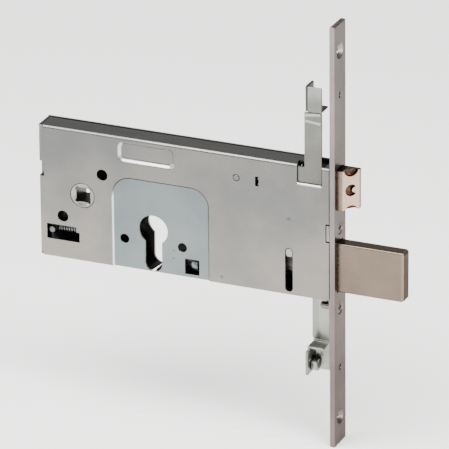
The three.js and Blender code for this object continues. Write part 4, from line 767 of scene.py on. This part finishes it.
def coil(name, start, end, y, z, radius, wire, turns):
    """A compression spring along X: a round wire on a helix whose pitch closes up over its end turns."""
    steps = int(turns * 36)
    t = np.linspace(0, 1, steps)
    angle = 2 * np.pi * turns * t
    closed = 1.1 / turns
    ramp = np.clip(t / closed, 0, 1) ** 2 * closed / 2 + np.clip(t - closed, 0, 1)
    ramp -= np.clip((t - (1 - closed)) / closed, 0, 1) ** 2 * closed / 2
    x = start + wire / 2 + (end - start - wire) * ramp / ramp[-1]
    centre = np.stack([x, y + radius * np.cos(angle), z + radius * np.sin(angle)], -1)
    outward = np.stack([np.zeros(steps), np.cos(angle), np.sin(angle)], -1)
    ahead = np.gradient(centre, axis=0)
    ahead /= np.linalg.norm(ahead, axis=1, keepdims=True)
    side = np.cross(ahead, outward)
    around = np.linspace(0, 2 * np.pi, 12, endpoint=False)[None, :, None]
    ring = centre[:, None] + wire / 2 * (np.cos(around) * outward[:, None] + np.sin(around) * side[:, None])
    return skin(name, ring)


spring_wire = plated("spring_wire", (0.27, 0.28, 0.30), (0.15, 0.16, 0.18), 0.30, 60, (900, 900, 900))
latch_coil = coil("latch_coil", -39.9, -18.3, 0.3, 35.4, 3.5, 0.7, 9)
fitted(smoothed(latch_coil, 60), spring_wire, "case", "spring_wire", "latch_spring")

# ------------------------------------------------------------------ spindle hub
# The hub is a zinc-plated casting with the square for the spindle. One arm lifts the draw bar's pin,
# and the other hangs in front of its spring, which shows through the window low in the cover.

# Painted shade: the hub is darkened to about a quarter behind y -5.6 mm, on the walls of its square and
# inside the case.
hub_zinc = plated("hub_zinc", (0.30, 0.29, 0.27), (0.20, 0.20, 0.19), 0.34, 60, (500, 60, 500),
                  zones=(("Y", -6.1, -5.6, (0.28, 0.27, 0.25)),))
hub = softened("follower", 0.25, hub_zinc, "spindle_hub", "zinc_fittings")
dish = carried("hub_dish", circle(*SPINDLE, 3.9, 60),
               [(-9, 2.75), (-7.3, 2.62), (-6.3, 1.1), (-6.2, 0.6)], "y")
smoothed(worked(hub, [dish]))
softened("follower_pin", 0.3, dull_steel, "spindle_hub", "steel")
hub_coil = coil("hub_return_coil", -166.3, -153.3, Y_BOLT, -21, 2.1, 0.8, 9)
fitted(smoothed(hub_coil, 60), spring_wire, "case", "spring_wire", "follower_spring")

# ------------------------------------------------------------------ tumbler
# A stamped steel lever drops its stump into the steps of the bolt's tail, pressed by a bent leaf
# spring, and turns on a pivot staked in the case's back.

softened("tumbler", 0.2, dull_steel, "tumbler_lever", "steel")
softened("tumbler_pivot", 0.3, dull_steel, "case", "steel")
softened("tumbler_spring", 0.08, spring_wire, "case", "spring_wire")

# ------------------------------------------------------------------ cylinder screw
# The screw that holds the cylinder runs in a small bracket on the floor of the case. Its socket head
# shows in the square window right of the cylinder's slot.

dark_zinc = plated("dark_zinc", (0.24, 0.27, 0.27), (0.12, 0.14, 0.14), 0.34, 60, (40, 900, 900))
softened("cylinder_screw", 0.25, dark_zinc, "case", "zinc_fittings")
softened("cylinder_screw_bracket", 0.2, zinc_plain, "case", "zinc_sheet")
